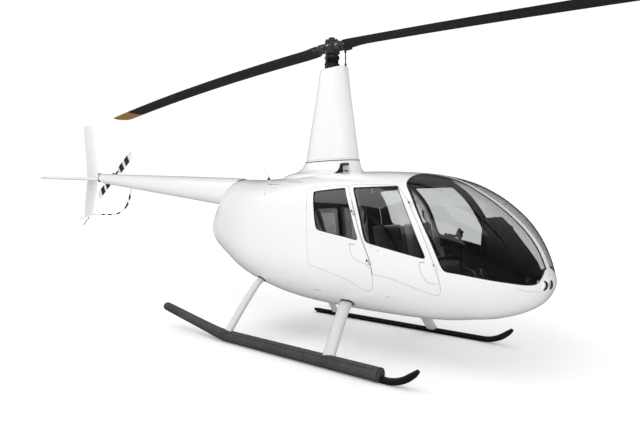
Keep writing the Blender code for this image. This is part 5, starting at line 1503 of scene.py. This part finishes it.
def padded_shape(bm, swell):
    """Fills the closed shape out like a stuffed cushion, by cloth under pressure, and returns the mesh."""
    made = bpy.data.objects.new("padding", mesh_of(bm))
    bpy.context.scene.collection.objects.link(made)
    voxels = made.modifiers.new("voxels", 'REMESH')
    voxels.mode = 'VOXEL'
    voxels.voxel_size = CUSHION_VOXEL
    bpy.context.view_layer.update()
    fine = bpy.data.meshes.new_from_object(made.evaluated_get(bpy.context.evaluated_depsgraph_get()))
    made.modifiers.clear()
    made.data = fine
    start = np.array([v.co for v in fine.vertices])
    cloth = made.modifiers.new("cloth", 'CLOTH')
    cloth.settings.use_pressure = True
    cloth.settings.uniform_pressure_force = CUSHION_PRESSURE
    cloth.settings.effector_weights.gravity = 0.0
    cloth.settings.quality = 4
    cloth.point_cache.frame_start = 1
    cloth.point_cache.frame_end = CUSHION_FRAMES
    for number in range(1, CUSHION_FRAMES + 1):
        bpy.context.scene.frame_set(number)
    settled = made.evaluated_get(bpy.context.evaluated_depsgraph_get()).data
    moved = np.array([v.co for v in settled.vertices]) - start
    bpy.context.scene.frame_set(1)
    made.modifiers.clear()
    reach = np.linalg.norm(moved, axis=1, keepdims=True)
    moved *= np.minimum(1.0, swell / np.maximum(reach, 1e-9))
    settled = start + moved
    for v, place in zip(fine.vertices, settled):
        v.co = place
    result = bmesh.new()
    result.from_mesh(fine)
    bpy.data.objects.remove(made)
    bpy.data.meshes.remove(fine)
    for _ in range(2):
        bmesh.ops.smooth_vert(result, verts=result.verts, factor=0.5, use_axis_x=True, use_axis_y=True,
                              use_axis_z=True)
    return result


class HELICOPTER_OT_seats(Operator):
    """Builds the padded cushions and backs, their seams, bases and belts"""
    bl_idname = "helicopter.seats"
    bl_label = "Seats"

    def execute(self, context):
        swell = sizes().cushion_swell
        for seat in SEATS:
            base = box((seat.x_back + 0.06, -0.45, CABIN_FLOOR_Z + TOUCH),
                       (seat.x_front - 0.03, 0.45, seat.seat_z - 0.10), 0.012)
            piece(seat.row + "_seat_box", base, dark_leather(), stands_for=[seat.row + "_seat_base"])
            low_z = seat.seat_z - 0.10 + TOUCH
            near, far = SEAT_Y[0] + swell, SEAT_Y[1] - swell
            cushion = box((seat.x_back + 0.10, near, low_z + 0.004),
                          (seat.x_front - swell, far, seat.seat_z - swell * 0.8), 0.022, 4)
            height = seat.back_top_z - seat.drop - low_z
            back = box((swell * 0.8, near, 0.004), (0.10 - swell * 0.8, far, height - swell), 0.022, 4)
            for v in back.verts:
                v.co.x += seat.x_back + 0.045 - (v.co.z / height - 1.0) * seat.back_lean * 0.6
                v.co.z += low_z
            for part, shape in (("cushion", padded_shape(cushion, swell)), ("back", padded_shape(back, swell))):
                panel_faces(shape, part, seat)
                panel = pale_leather() if seat.row == "rear" and part == "back" else dark_leather()
                hit = BVHTree.FromBMesh(shape)
                stitched = self.stitching(hit, part, seat)
                for side, side_name in SIDES:
                    node = f"{seat.row}_seat_{side_name}"
                    made = piece(f"{seat.row}_{part}_{side_name}", on_side(shape.copy(), side), grey_leather(), panel,
                                 stands_for=[node])
                    piece(f"{seat.row}_{part}_{side_name}_seams", on_side(stitched.copy(), side), thread(), slot=node)
                if part == "back":
                    self.belts(seat, hit)
                stitched.free()
                shape.free()
        return {'FINISHED'}

    def stitching(self, hit, part, seat):
        """Sewn lines round the panel and across it."""
        if part == "cushion":
            low, high = seat.x_back + 0.20, seat.x_front - 0.06
            crossings = (0.0, 1.0, 0.33, 0.66)
        else:
            low, high = seat.seat_z + 0.04, seat.back_top_z - 0.07 - seat.drop
            crossings = (1.0, 0.3, 0.6)
        paths = [((low, y), (high, y)) for y in PANEL_Y]
        paths += [tuple((low + (high - low) * share, y) for y in PANEL_Y) for share in crossings]
        lines = []
        for path in paths:
            if part == "cushion":
                points = [hit.ray_cast(Vector((along, y, 2.0)), Vector((0, 0, -1)))[0]
                          for along, y in self.between_points(path)]
            else:
                points = [self.on_back(hit, seat, y, along) for along, y in self.between_points(path)]
            points = [point for point in points if point is not None]
            if len(points) > 2:
                lines.append(swept(points, 0.0022, sides=6))
        return joined(*lines)

    def between_points(self, ends, count=14):
        (a, b), (c, d) = ends
        return [(a + (c - a) * k / count, b + (d - b) * k / count) for k in range(count + 1)]

    def on_back(self, hit, seat, y, z):
        """The point of the seat back's face at this height, or None beside it."""
        return hit.ray_cast(Vector((seat.x_back + 0.9, y, z)), Vector((-1, 0, 0)))[0]

    def belts(self, seat, hit):
        """A lap belt with its buckle and a shoulder strap from the pillar for each seat of the row."""
        top = seat.back_top_z - seat.drop
        lap = [(seat.x_back + 0.17, -0.468, seat.seat_z + 0.02), (seat.x_back + 0.24, -0.40, seat.seat_z + 0.075),
               (seat.x_back + 0.30, -0.255, seat.seat_z + 0.030), (seat.x_back + 0.24, -0.11, seat.seat_z + 0.075),
               (seat.x_back + 0.17, -0.045, seat.seat_z + 0.02)]
        strap = []
        for y, z in ((-0.17, seat.seat_z + 0.05), (-0.24, seat.seat_z + 0.16), (-0.32, seat.seat_z + 0.28),
                     (-0.40, top - 0.03)):
            place = self.on_back(hit, seat, y, z)
            if place is not None:
                strap.append(place + Vector((0.004, 0, 0)))
        last = strap[-1]
        strap.append(last + Vector((-0.055, -0.02, 0.045)))
        strap.append(Vector((last.x - 0.10, -0.47, top + 0.10)))
        buckle = box((seat.x_back + 0.285, -0.275, seat.seat_z + 0.022),
                     (seat.x_back + 0.325, -0.225, seat.seat_z + 0.040), 0.004)
        for side, side_name in SIDES:
            node = f"{seat.row}_seat_{side_name}"
            webs = joined(swept(lap, 0.0012, 0.023, sides=10, side=Vector((1, 0, 0)), step=0.02),
                          swept(strap, 0.023, 0.0012, sides=10, side=Vector((1, 0, 0)), step=0.02))
            piece(f"{seat.row}_belt_{side_name}", on_side(webs, side), webbing(), slot=node)
            piece(f"{seat.row}_buckle_{side_name}", on_side(buckle.copy(), side), steel(), slot=node)
        buckle.free()


def panel_faces(bm, part, seat):
    """Gives the middle of a cushion the darker leather."""
    for face in bm.faces:
        place = face.calc_center_median()
        if part == "cushion":
            inside = seat.x_back + 0.20 < place.x < seat.x_front - 0.06 and face.normal.z > 0.4
        else:
            inside = seat.seat_z + 0.04 < place.z < seat.back_top_z - 0.07 and face.normal.x > 0.4
        face.material_index = int(inside and PANEL_Y[0] < place.y < PANEL_Y[1])


class HELICOPTER_OT_cabin(Operator):
    """Builds the instrument hood with its gauges, the cyclic, collectives, pedals, console and headliner"""
    bl_idname = "helicopter.cabin"
    bl_label = "Cabin"

    def execute(self, context):
        dressed("cabin_floor", carpet())
        dressed("rear_bulkhead", dark_lining_and_shade())
        pod = prism(softened([(1.86, 0.70), (1.79, 1.05), (1.812, 1.345), (1.845, 1.362), (1.885, 1.325),
                              (1.935, 1.275), (2.005, 1.189), (2.092, 1.080), (2.170, 0.975), (2.205, 0.885),
                              (2.190, 0.820), (2.140, 0.765), (2.020, 0.700)], 0.03), -0.17, 0.17)
        bmesh.ops.bevel(pod, geom=[e for e in pod.edges if abs(e.verts[0].co.y - e.verts[1].co.y) < 1e-5],
                        offset=0.028, segments=5, profile=0.5, affect='EDGES', material=-1)
        foot = box((1.82, -0.10, CABIN_FLOOR_Z + TOUCH), (1.98, 0.10, 0.75), 0.01)
        piece("instrument_hood", joined(pod, foot), hood_black(), stands_for=["instrument_pod"])
        stick = swept([(1.52, 0, CABIN_FLOOR_Z + TOUCH), (1.52, 0, 0.66), (1.525, 0, 0.86), (1.522, 0, 1.10),
                       (1.518, 0, 1.19)], 0.014, sides=20, side=ACROSS, step=0.02)
        pivot = turned([(0.0, -0.03), (0.024, -0.03), (0.028, -0.02), (0.028, 0.02), (0.020, 0.034), (0.014, 0.055),
                        (0.0, 0.058)], (1.515, 0.0, 1.195), (-0.15, 0.25, 1.0), steps=24)
        bar = swept([(1.515, 0.055, 1.215), (1.515, 0.0, 1.205), (1.512, -0.10, 1.185), (1.508, -0.19, 1.200),
                     (1.505, -0.235, 1.180)], 0.013, sides=20, step=0.015)
        grip = swept([(1.512, -0.222, 1.215), (1.500, -0.238, 1.185), (1.485, -0.245, 1.145), (1.478, -0.247, 1.105)],
                     [0.015, 0.021, 0.019, 0.021], sides=20, step=0.01)
        piece("cyclic_stick", joined(stick, pivot, bar, grip), hood_black(), stands_for=["cyclic_control"])
        self.gauges()
        self.pedals()
        for side, side_name in SIDES:
            y = side * 0.035 if side == PORT else side * 0.045
            lever = swept([(0.98, y, 0.905), (1.20, y, 0.935), (1.42, y, 0.985)], [0.011, 0.011, 0.012],
                          sides=16, step=0.03)
            head = swept([(1.40, y, 0.980), (1.43, y, 0.987), (1.50, y, 1.004), (1.515, y, 1.008)],
                         [0.014, 0.019, 0.019, 0.012], sides=20)
            piece("collective_lever_" + side_name, joined(lever, head), hood_black(), slot="cyclic_control")
        lining = cut(shell(SKIN + 0.0015, SKIN + 0.006), ('INTERSECT', box((0.0, -0.42, 1.3), (1.28, 0.42, 2.0))))
        piece("headliner", lining, dark_lining_and_shade(), slot="cabin_roof")
        console = box((0.99, -0.028, CABIN_FLOOR_Z + TOUCH), (1.30, 0.028, 0.86), 0.012)
        piece("centre_console", console, hood_black(), slot="front_seat_base")
        vents = [turned([(0.010, 0.0), (0.022, 0.0), (0.026, 0.006), (0.024, 0.010), (0.014, 0.008), (0.010, 0.0)],
                        (1.93, side * 0.155, 1.268), (0.6, side * 0.3, 0.75), steps=24) for side in (PORT, STARBOARD)]
        piece("hood_vents", joined(*vents), head_grey(), slot="instrument_pod")
        crease = swept([(1.845, 0.0, 1.3635), (1.900, 0.0, 1.313), (2.005, 0.0, 1.191), (2.092, 0.0, 1.082),
                        (2.16, 0.0, 0.99)], 0.003, sides=8, side=ACROSS, step=0.02)
        piece("hood_seam", crease, dark_gap_and_shadow(), slot="instrument_pod")
        return {'FINISHED'}

    def gauges(self):
        """Round instruments with plain marks and pointers on the hood's aft face."""
        low, high = Vector((1.79, 0, 1.05)), Vector((1.812, 0, 1.345))
        up = (high - low).normalized()
        axis = Vector((-up.z, 0, up.x))
        faces, rims, marks = [], [], []
        for row, height in enumerate((0.045, 0.135, 0.225)):
            for column in (-1, 0, 1):
                centre = low + up * height + Vector((0, column * 0.092, 0)) + axis * 0.001
                radius = 0.037 if row else 0.028
                rims.append(hoop((radius, radius + 0.005), (0.0, 0.005), centre, axis, 32))
                faces.append(turned([(0.0, 0.002), (radius, 0.002), (radius, 0.0), (0.0, 0.0)], centre, axis,
                                    steps=32))
                for k in range(12):
                    a = pi * k / 6
                    out = Vector((0, cos(a), 0)) + up * sin(a)
                    marks.append(swept([centre + axis * 0.0024 + out * radius * 0.80,
                                        centre + axis * 0.0024 + out * radius * 0.95], 0.0008, sides=4))
                a = 0.7 + 1.9 * row + 1.3 * column
                out = Vector((0, cos(a), 0)) + up * sin(a)
                marks.append(swept([centre + axis * 0.003 - out * radius * 0.15,
                                    centre + axis * 0.003 + out * radius * 0.7], [0.0016, 0.0006], sides=6))
        piece("gauge_faces", joined(*faces), gauge_face(), slot="instrument_pod")
        piece("gauge_rims", joined(*rims), head_grey(), slot="instrument_pod")
        piece("gauge_marks", joined(*marks), gauge_mark(), slot="instrument_pod")

    def pedals(self):
        """Two pairs of pedals on their tubes."""
        plates, tubes = [], []
        for side, _ in SIDES:
            for y in (0.22, 0.34):
                place = Vector((1.86, side * y, 0.885))
                plate = box((-0.006, -0.038, -0.050), (0.006, 0.038, 0.050), 0.004)
                plates.append(shifted(rotated(plate, radians(-24), 'Y'), place))
                for rib in (-0.025, 0.0, 0.025):
                    plates.append(swept([place + Vector((-0.010 + rib * 0.4, -0.03, rib)),
                                         place + Vector((-0.010 + rib * 0.4, 0.03, rib))], 0.0022, sides=8))
                tubes.append(swept([place + Vector((0.012, 0, -0.01)), place + Vector((0.035, 0, -0.10)),
                                    (1.90, side * y, CABIN_FLOOR_Z + 0.03), (1.90, side * y, CABIN_FLOOR_Z + TOUCH)],
                                   0.008, sides=12, side=ACROSS, step=0.02))
        piece("pedal_plates", joined(*plates), steel(), slot="cabin_floor")
        piece("pedal_tubes", joined(*tubes), head_grey(), slot="cabin_floor")


class HELICOPTER_OT_lights(Operator):
    """Builds the two landing lights behind their clear covers"""
    bl_idname = "helicopter.lights"
    bl_label = "Landing lights"

    def execute(self, context):
        for name, y, z in LANDING_LIGHTS:
            cover = cut(lamp_barrel(y, z, 0.0), ('INTERSECT', shell(0.001, 0.005)))
            piece(f"landing_light_{name}_cover", cover, lamp_glass(), stands_for=["landing_light_" + name])
            bowl = turned([(0.006, 0.0), (0.018, 0.004), (0.030, 0.013), (0.0365, 0.026), (0.0385, 0.028),
                           (0.0385, -0.004), (0.0, -0.004)], (LAMP_BACK_X + 0.018, y, z), (1, 0, 0), steps=48)
            piece(f"landing_light_{name}_bowl", bowl, reflector(), slot="landing_light_" + name)
            rim = cut(turned([(LAMP_RADIUS - 0.0035, -0.03), (LAMP_RADIUS - 0.0035, 0.12), (LAMP_RADIUS, 0.12),
                              (LAMP_RADIUS, -0.03), (LAMP_RADIUS - 0.0035, -0.03)], (LAMP_BACK_X, y, z), (1, 0, 0),
                             steps=48), ('INTERSECT', shell(0.0052, 0.02)))
            piece(f"landing_light_{name}_rim", rim, black_rubber(), slot="landing_light_" + name)
        return {'FINISHED'}


EXHAUST_Z = 0.735


class HELICOPTER_OT_engine(Operator):
    """Builds the engine with its finned cylinders, the cooling fan, its grille and the exhaust"""
    bl_idname = "helicopter.engine"
    bl_label = "Engine"

    def execute(self, context):
        case = box((-0.90, -0.105, 0.80), (-0.16, 0.105, 1.10), 0.03, 4)
        sump = box((-0.80, -0.13, 0.702), (-0.30, 0.13, 0.80), 0.02, 3)
        mount = turned([(0.0, -0.02), (0.10, -0.02), (0.12, 0.0), (0.13, 0.05), (0.0, 0.05)], (-0.20, 0, 0.95),
                       (1, 0, 0), steps=32)
        parts = [case, sump, mount]
        pipes = []
        for side, _ in SIDES:
            for k in range(3):
                x = -0.76 + 0.22 * k + (0.03 if side == PORT else 0.0)
                profile = [(0.0, 0.09), (0.070, 0.09)]
                for fin in range(8):
                    at = 0.115 + 0.014 * fin
                    profile += [(0.062, at - 0.003), (0.082, at - 0.002), (0.082, at + 0.002), (0.062, at + 0.003)]
                profile += [(0.072, 0.236), (0.076, 0.262), (0.062, 0.284), (0.0, 0.286)]
                parts.append(turned(profile, (x, 0, 0.96), (0, side, 0), steps=28))
                pipes.append(swept([(x, side * 0.20, 0.90), (x - 0.01, side * 0.21, 0.80),
                                    (x - 0.05, side * 0.20, 0.745)], 0.020, sides=14, step=0.02))
            pipes.append(swept([(-0.30, side * 0.20, 0.742), (-0.60, side * 0.20, 0.738), (-0.84, side * 0.17, 0.732)],
                               0.026, sides=16, step=0.04))
        piece("engine_castings", joined(*parts), alloy(), stands_for=["engine"])
        piece("exhaust_manifolds", joined(*pipes), steel(), slot="engine")

        hub = turned([(0.0, 0.02), (0.070, 0.02), (0.078, 0.030), (0.078, 0.056), (0.05, 0.075), (0.05, 0.11),
                      (0.02, 0.115), (0.02, -0.92 - FAN_CENTRE.x - TOUCH), (0.0, -0.92 - FAN_CENTRE.x - TOUCH)],
                     FAN_CENTRE, (1, 0, 0), steps=40)
        ring = hoop((FAN_RADIUS - 0.006, FAN_RADIUS), (0.022, 0.060), FAN_CENTRE, (1, 0, 0), 64)
        blades = []
        for k in range(sizes().fan_blades):
            blade = box((0.026, -0.0015, 0.070), (0.056, 0.0015, FAN_RADIUS - 0.003), 0.0008, 1)
            blade = rotated(blade, radians(28), 'Z', (0.04, 0, 0.13))
            blades.append(shifted(rotated(blade, 2 * pi * k / sizes().fan_blades, 'X'), FAN_CENTRE))
        piece("cooling_fan_wheel", joined(hub, ring, *blades), alloy(), stands_for=["cooling_fan"])
        middle, wire = FAN_CENTRE + Vector((0.006, 0, 0)), 0.0016
        wires = [hoop((radius - wire, radius + wire), (-wire, wire), middle, (1, 0, 0), 56)
                 for radius in (0.045, 0.080, 0.115, 0.150, 0.183)]
        for k in range(8):
            out = Vector((0, cos(pi * k / 4), sin(pi * k / 4)))
            wires.append(swept([middle + out * r for r in (0.02, 0.190)], 0.0018, sides=6))
        piece("fan_grille", joined(*wires), skid_black(), slot="aft_fuselage")

        pipe = swept([(-0.84, 0.17, EXHAUST_Z), (-0.872, 0.17, 0.66), (-0.905, 0.17, 0.588), (-0.985, 0.17, 0.530),
                      (-1.22, 0.17, 0.500)], 0.028, sides=28, side=ACROSS, step=0.02)
        bore = swept([(-1.08, 0.17, 0.518), (-1.25, 0.17, 0.496)], 0.0255, sides=28, side=ACROSS)
        piece("exhaust_tail_pipe", cut(pipe, ('DIFFERENCE', bore)), steel(), stands_for=["exhaust_pipe"])
        return {'FINISHED'}


# Small fittings of the skin: places (station, height)
DOOR_SCREWS = (("rear", 0.237, 1.232), ("rear", 0.378, 1.197), ("front", 0.989, 1.103), ("front", 1.066, 1.071))
HINGE_LINES = (("rear", ((0.747, 1.063), (0.760, 1.030), (0.783, 1.001), (0.810, 0.980), (0.840, 0.967),
                         (0.875, 0.960), (0.910, 0.954), (0.945, 0.935), (0.965, 0.905))),
               ("rear", ((0.737, 1.118), (0.744, 1.095), (0.747, 1.063))),
               ("front", ((1.476, 0.996), (1.474, 0.966), (1.485, 0.915), (1.511, 0.867), (1.539, 0.836),
                          (1.590, 0.823), (1.625, 0.819))))
DOOR_SLOTS = (("rear", ((0.737, 1.118), (0.772, 1.119), (0.808, 1.118))),
              ("front", ((1.476, 0.998), (1.500, 1.000), (1.520, 0.998))))
DRAINS = ((1.111, 0.657, 0.022), (0.243, 0.627, 0.050), (-0.169, 0.658, 0.018))
ROOF_SLOT = ((-0.300, 1.722), (-0.220, 1.720), (-0.130, 1.717), (-0.040, 1.713))
NOSE_LINE = ((2.197, 0.809), (2.240, 0.796), (2.285, 0.784), (2.312, 0.779))


class HELICOPTER_OT_fittings(Operator):
    """Builds the screws, panel lines, door locks and belly drains on the skin"""
    bl_idname = "helicopter.fittings"
    bl_label = "Skin fittings"

    def execute(self, context):
        for side, side_name in SIDES:
            for place in ("rear", "front"):
                node = f"{place}_door_{side_name}"
                lines = [skin_line(points, side, 0.0016) for door, points in HINGE_LINES if door == place]
                piece(node + "_hinge_cover_lines", joined(*lines), panel_gap(), on=node + "_body", slot=node)
                slots = [skin_line(points, side, 0.0022) for door, points in DOOR_SLOTS if door == place]
                piece(node + "_slot", joined(*slots), dark_gap_and_shadow(), on=node + "_body", slot=node)
                screws = [screw_head(*on_skin(x, z, side)) for door, x, z in DOOR_SCREWS if door == place]
                piece(node + "_screws", joined(*screws), steel(), on=node + "_body", slot=node)
                x, z = (0.30, 1.02) if place == "rear" else (1.10, 0.985)
                centre, normal = on_skin(x, z, side)
                plate = turned([(0.0, 0.001), (0.020, 0.001), (0.022, -0.001), (0.0, -0.001)], centre, normal,
                               steps=28)
                key = turned([(0.0, 0.004), (0.006, 0.004), (0.007, 0.001), (0.0, 0.001)], centre, normal, steps=16)
                piece(node + "_lock", joined(plate, key), white_paint(), on=node + "_body", slot=node)
            drains = [skin_line(((x - reach, z + 0.001), (x, z), (x + reach, z + 0.001)), side, 0.0026)
                      for x, z, reach in DRAINS]
            piece("drains_" + side_name, joined(*drains), panel_gap(), slot="lower_fuselage")
            piece("roof_slot_" + side_name, skin_line(ROOF_SLOT, side, 0.0022), dark_gap_and_shadow(), slot="cabin_roof")
            piece("nose_line_" + side_name, skin_line(NOSE_LINE, side), panel_gap(), slot="lower_fuselage")
        place, normal, _, _ = SKIN_TREE.ray_cast(Vector((3.0, -0.018, 0.900)), Vector((-1, 0, 0)))
        piece("nose_screw", screw_head(place, normal), steel(), slot="lower_fuselage")
        seams = []
        for along in (0.78, 1.56, 2.34, 3.12):
            radius = tailcone_radius(along)
            seams.append(hoop((radius - 0.002, radius + 0.0003), (-0.0008, 0.0008),
                              TAILCONE_FRONT + TAILCONE_AXIS * along, TAILCONE_AXIS, 72))
        piece("tailcone_lap_seams", joined(*seams), pale_seal(), slot="tailcone")
        return {'FINISHED'}


# Stage

CAMERA_PLACE = Vector((4.639, -4.541, 1.552))
CAMERA_YAW, CAMERA_PITCH, CAMERA_ROLL = radians(132.736), radians(-1.685), radians(-0.817)
FOCAL_PX, FRAME_PX = 551.1, 640       # focal length and picture width, in pixels
# Name, place, size and power
STUDIO_LIGHTS = (("side_box", (1.0, -9.0, 3.2), (6.0, 3.0), 45.0), ("key_box", (5.0, -5.0, 9.0), (8.0, 6.0), 150.0),
                 ("tail_box", (-5.0, -4.5, 8.0), (8.0, 6.0), 210.0),
                 ("cabin_glow", (1.45, -0.10, 1.56), (0.5, 0.4), 5.0))


class HELICOPTER_OT_stage(Operator):
    """Sets the camera, the pale floor and the soft studio light"""
    bl_idname = "helicopter.stage"
    bl_label = "Stage"

    def execute(self, context):
        scene = context.scene
        ahead = Vector((cos(CAMERA_PITCH) * cos(CAMERA_YAW), cos(CAMERA_PITCH) * sin(CAMERA_YAW), sin(CAMERA_PITCH)))
        right = Vector((sin(CAMERA_YAW), -cos(CAMERA_YAW), 0.0))
        up = right.cross(ahead)
        rolled_right = right * cos(CAMERA_ROLL) + up * sin(CAMERA_ROLL)
        rolled_up = up * cos(CAMERA_ROLL) - right * sin(CAMERA_ROLL)
        lens = bpy.data.cameras.new("camera")
        lens.sensor_width = 36.0
        lens.sensor_fit = 'HORIZONTAL'
        lens.lens = FOCAL_PX * lens.sensor_width / FRAME_PX
        lens.clip_end = 400
        camera = bpy.data.objects.new("camera", lens)
        camera.matrix_world = Matrix.Translation(CAMERA_PLACE) @ Matrix((rolled_right, rolled_up,
                                                                         -ahead)).transposed().to_4x4()
        scene.collection.objects.link(camera)
        scene.camera = camera
        scene.view_settings.view_transform = 'Standard'

        bm = bmesh.new()
        bmesh.ops.create_circle(bm, cap_ends=True, segments=96, radius=120.0)
        floor = bpy.data.objects.new("studio_floor", mesh_of(bm))
        floor.data.materials.append(self.floor_white())
        scene.collection.objects.link(floor)
        self.sky(scene)
        for name, place, size, power in STUDIO_LIGHTS:
            light = bpy.data.lights.new(name, 'AREA')
            light.shape = 'RECTANGLE'
            light.size, light.size_y = size
            light.energy = power
            lamp = bpy.data.objects.new(name, light)
            lamp.location = place
            lamp.rotation_euler = (Vector((1.0, 0, 1)) - Vector(place)).to_track_quat('-Z', 'Y').to_euler()
            scene.collection.objects.link(lamp)
            if name == "cabin_glow":
                lamp.visible_camera = lamp.visible_glossy = lamp.visible_transmission = False
        return {'FINISHED'}

    def ways(self, tree):
        """Whether a ray comes straight from the camera, only through glass, or was mirrored on its way."""
        path = tree.nodes.new('ShaderNodeLightPath')
        bounced = combine(tree, 'ADD', path.outputs["Glossy Depth"], path.outputs["Diffuse Depth"])
        unbroken = combine(tree, 'LESS_THAN', bounced, 0.5)
        through = combine(tree, 'MULTIPLY', path.outputs["Is Transmission Ray"], unbroken)
        after = combine(tree, 'MULTIPLY', path.outputs["Is Transmission Ray"],
                        combine(tree, 'GREATER_THAN', path.outputs["Glossy Depth"], 0.5))
        return path.outputs["Is Camera Ray"], through, combine(tree, 'MAXIMUM', path.outputs["Is Glossy Ray"], after)

    def floor_white(self):
        made = bpy.data.materials.new("Studio floor")
        made.use_nodes = True
        shader = made.node_tree.nodes["Principled BSDF"]
        shader.inputs["Roughness"].default_value = 0.9
        shader.inputs["Specular IOR Level"].default_value = 0.0
        tree = made.node_tree
        place = tree.nodes.new('ShaderNodeTexCoord').outputs["Object"]
        far = tree.nodes.new('ShaderNodeVectorMath')
        far.operation = 'LENGTH'
        tree.links.new(place, far.inputs[0])
        straight, through, mirrored = self.ways(tree)
        colour = (0.92, 0.92, 0.92, 1.0)
        for factor, grey in ((mirrored, 0.12), (through, 0.20), (straight, 0.94)):
            colour = mixed(tree, factor, colour, (grey, grey, grey, 1.0))
        tree.links.new(colour, shader.inputs["Base Color"])
        glow = combine(tree, 'MULTIPLY', between(tree, far.outputs["Value"], 2.8, 8.0, 0.10, 0.75), straight)
        glow = combine(tree, 'ADD', glow, combine(tree, 'MULTIPLY', through, 0.68))
        shader.inputs["Emission Color"].default_value = (1.0, 1.0, 1.0, 1.0)
        tree.links.new(glow, shader.inputs["Emission Strength"])
        return made

    def sky(self, scene):
        """White to the camera and through glass, softer as light and dark where it is mirrored."""
        world = bpy.data.worlds.new("studio")
        scene.world = world
        world.use_nodes = True
        tree = world.node_tree
        background = tree.nodes["Background"]
        place = tree.nodes.new('ShaderNodeTexCoord')
        parts = tree.nodes.new('ShaderNodeSeparateXYZ')
        tree.links.new(place.outputs["Generated"], parts.inputs[0])
        level = between(tree, parts.outputs["Z"], 0.0, 0.9, 1.06, 0.78)
        mirrored_level = between(tree, parts.outputs["Z"], 0.3, 0.9, 0.06, 0.34)
        straight, through, mirrored = self.ways(tree)
        for factor, other in ((mirrored, mirrored_level), (through, 0.95), (straight, 1.05)):
            level = mixed(tree, factor, level, other, 'FLOAT')
        tree.links.new(level, background.inputs["Strength"])
        background.inputs["Color"].default_value = (1.0, 1.0, 1.0, 1.0)


BUILD_STEPS = ("stage", "fuselage", "doors", "windshield", "mast_fairing", "tail", "landing_gear", "main_rotor",
               "tail_rotor", "seats", "cabin", "lights", "engine", "fittings")


class HELICOPTER_PT_build(Panel):
    bl_idname = "HELICOPTER_PT_build"
    bl_label = "Helicopter"
    bl_space_type = 'VIEW_3D'
    bl_region_type = 'UI'
    bl_category = "Helicopter"

    def draw(self, context):
        layout = self.layout
        for group in (context.scene.helicopter_sizes, context.scene.helicopter_colours):
            for name in group.__annotations__:
                layout.prop(group, name)
        for step in BUILD_STEPS:
            layout.operator("helicopter." + step)


CLASSES = (HelicopterSizes, HelicopterColours, HELICOPTER_OT_stage, HELICOPTER_OT_fuselage, HELICOPTER_OT_doors,
           HELICOPTER_OT_windshield, HELICOPTER_OT_mast_fairing, HELICOPTER_OT_tail, HELICOPTER_OT_landing_gear,
           HELICOPTER_OT_main_rotor, HELICOPTER_OT_tail_rotor, HELICOPTER_OT_seats, HELICOPTER_OT_cabin,
           HELICOPTER_OT_lights, HELICOPTER_OT_engine, HELICOPTER_OT_fittings, HELICOPTER_PT_build)


def register():
    for each in CLASSES:
        bpy.utils.register_class(each)
    bpy.types.Scene.helicopter_sizes = PointerProperty(type=HelicopterSizes)
    bpy.types.Scene.helicopter_colours = PointerProperty(type=HelicopterColours)


def unregister():
    del bpy.types.Scene.helicopter_colours
    del bpy.types.Scene.helicopter_sizes
    for each in reversed(CLASSES):
        bpy.utils.unregister_class(each)


def main():
    register()
    for step in BUILD_STEPS:
        getattr(bpy.ops.helicopter, step)()


if __name__ == "__main__":
    main()
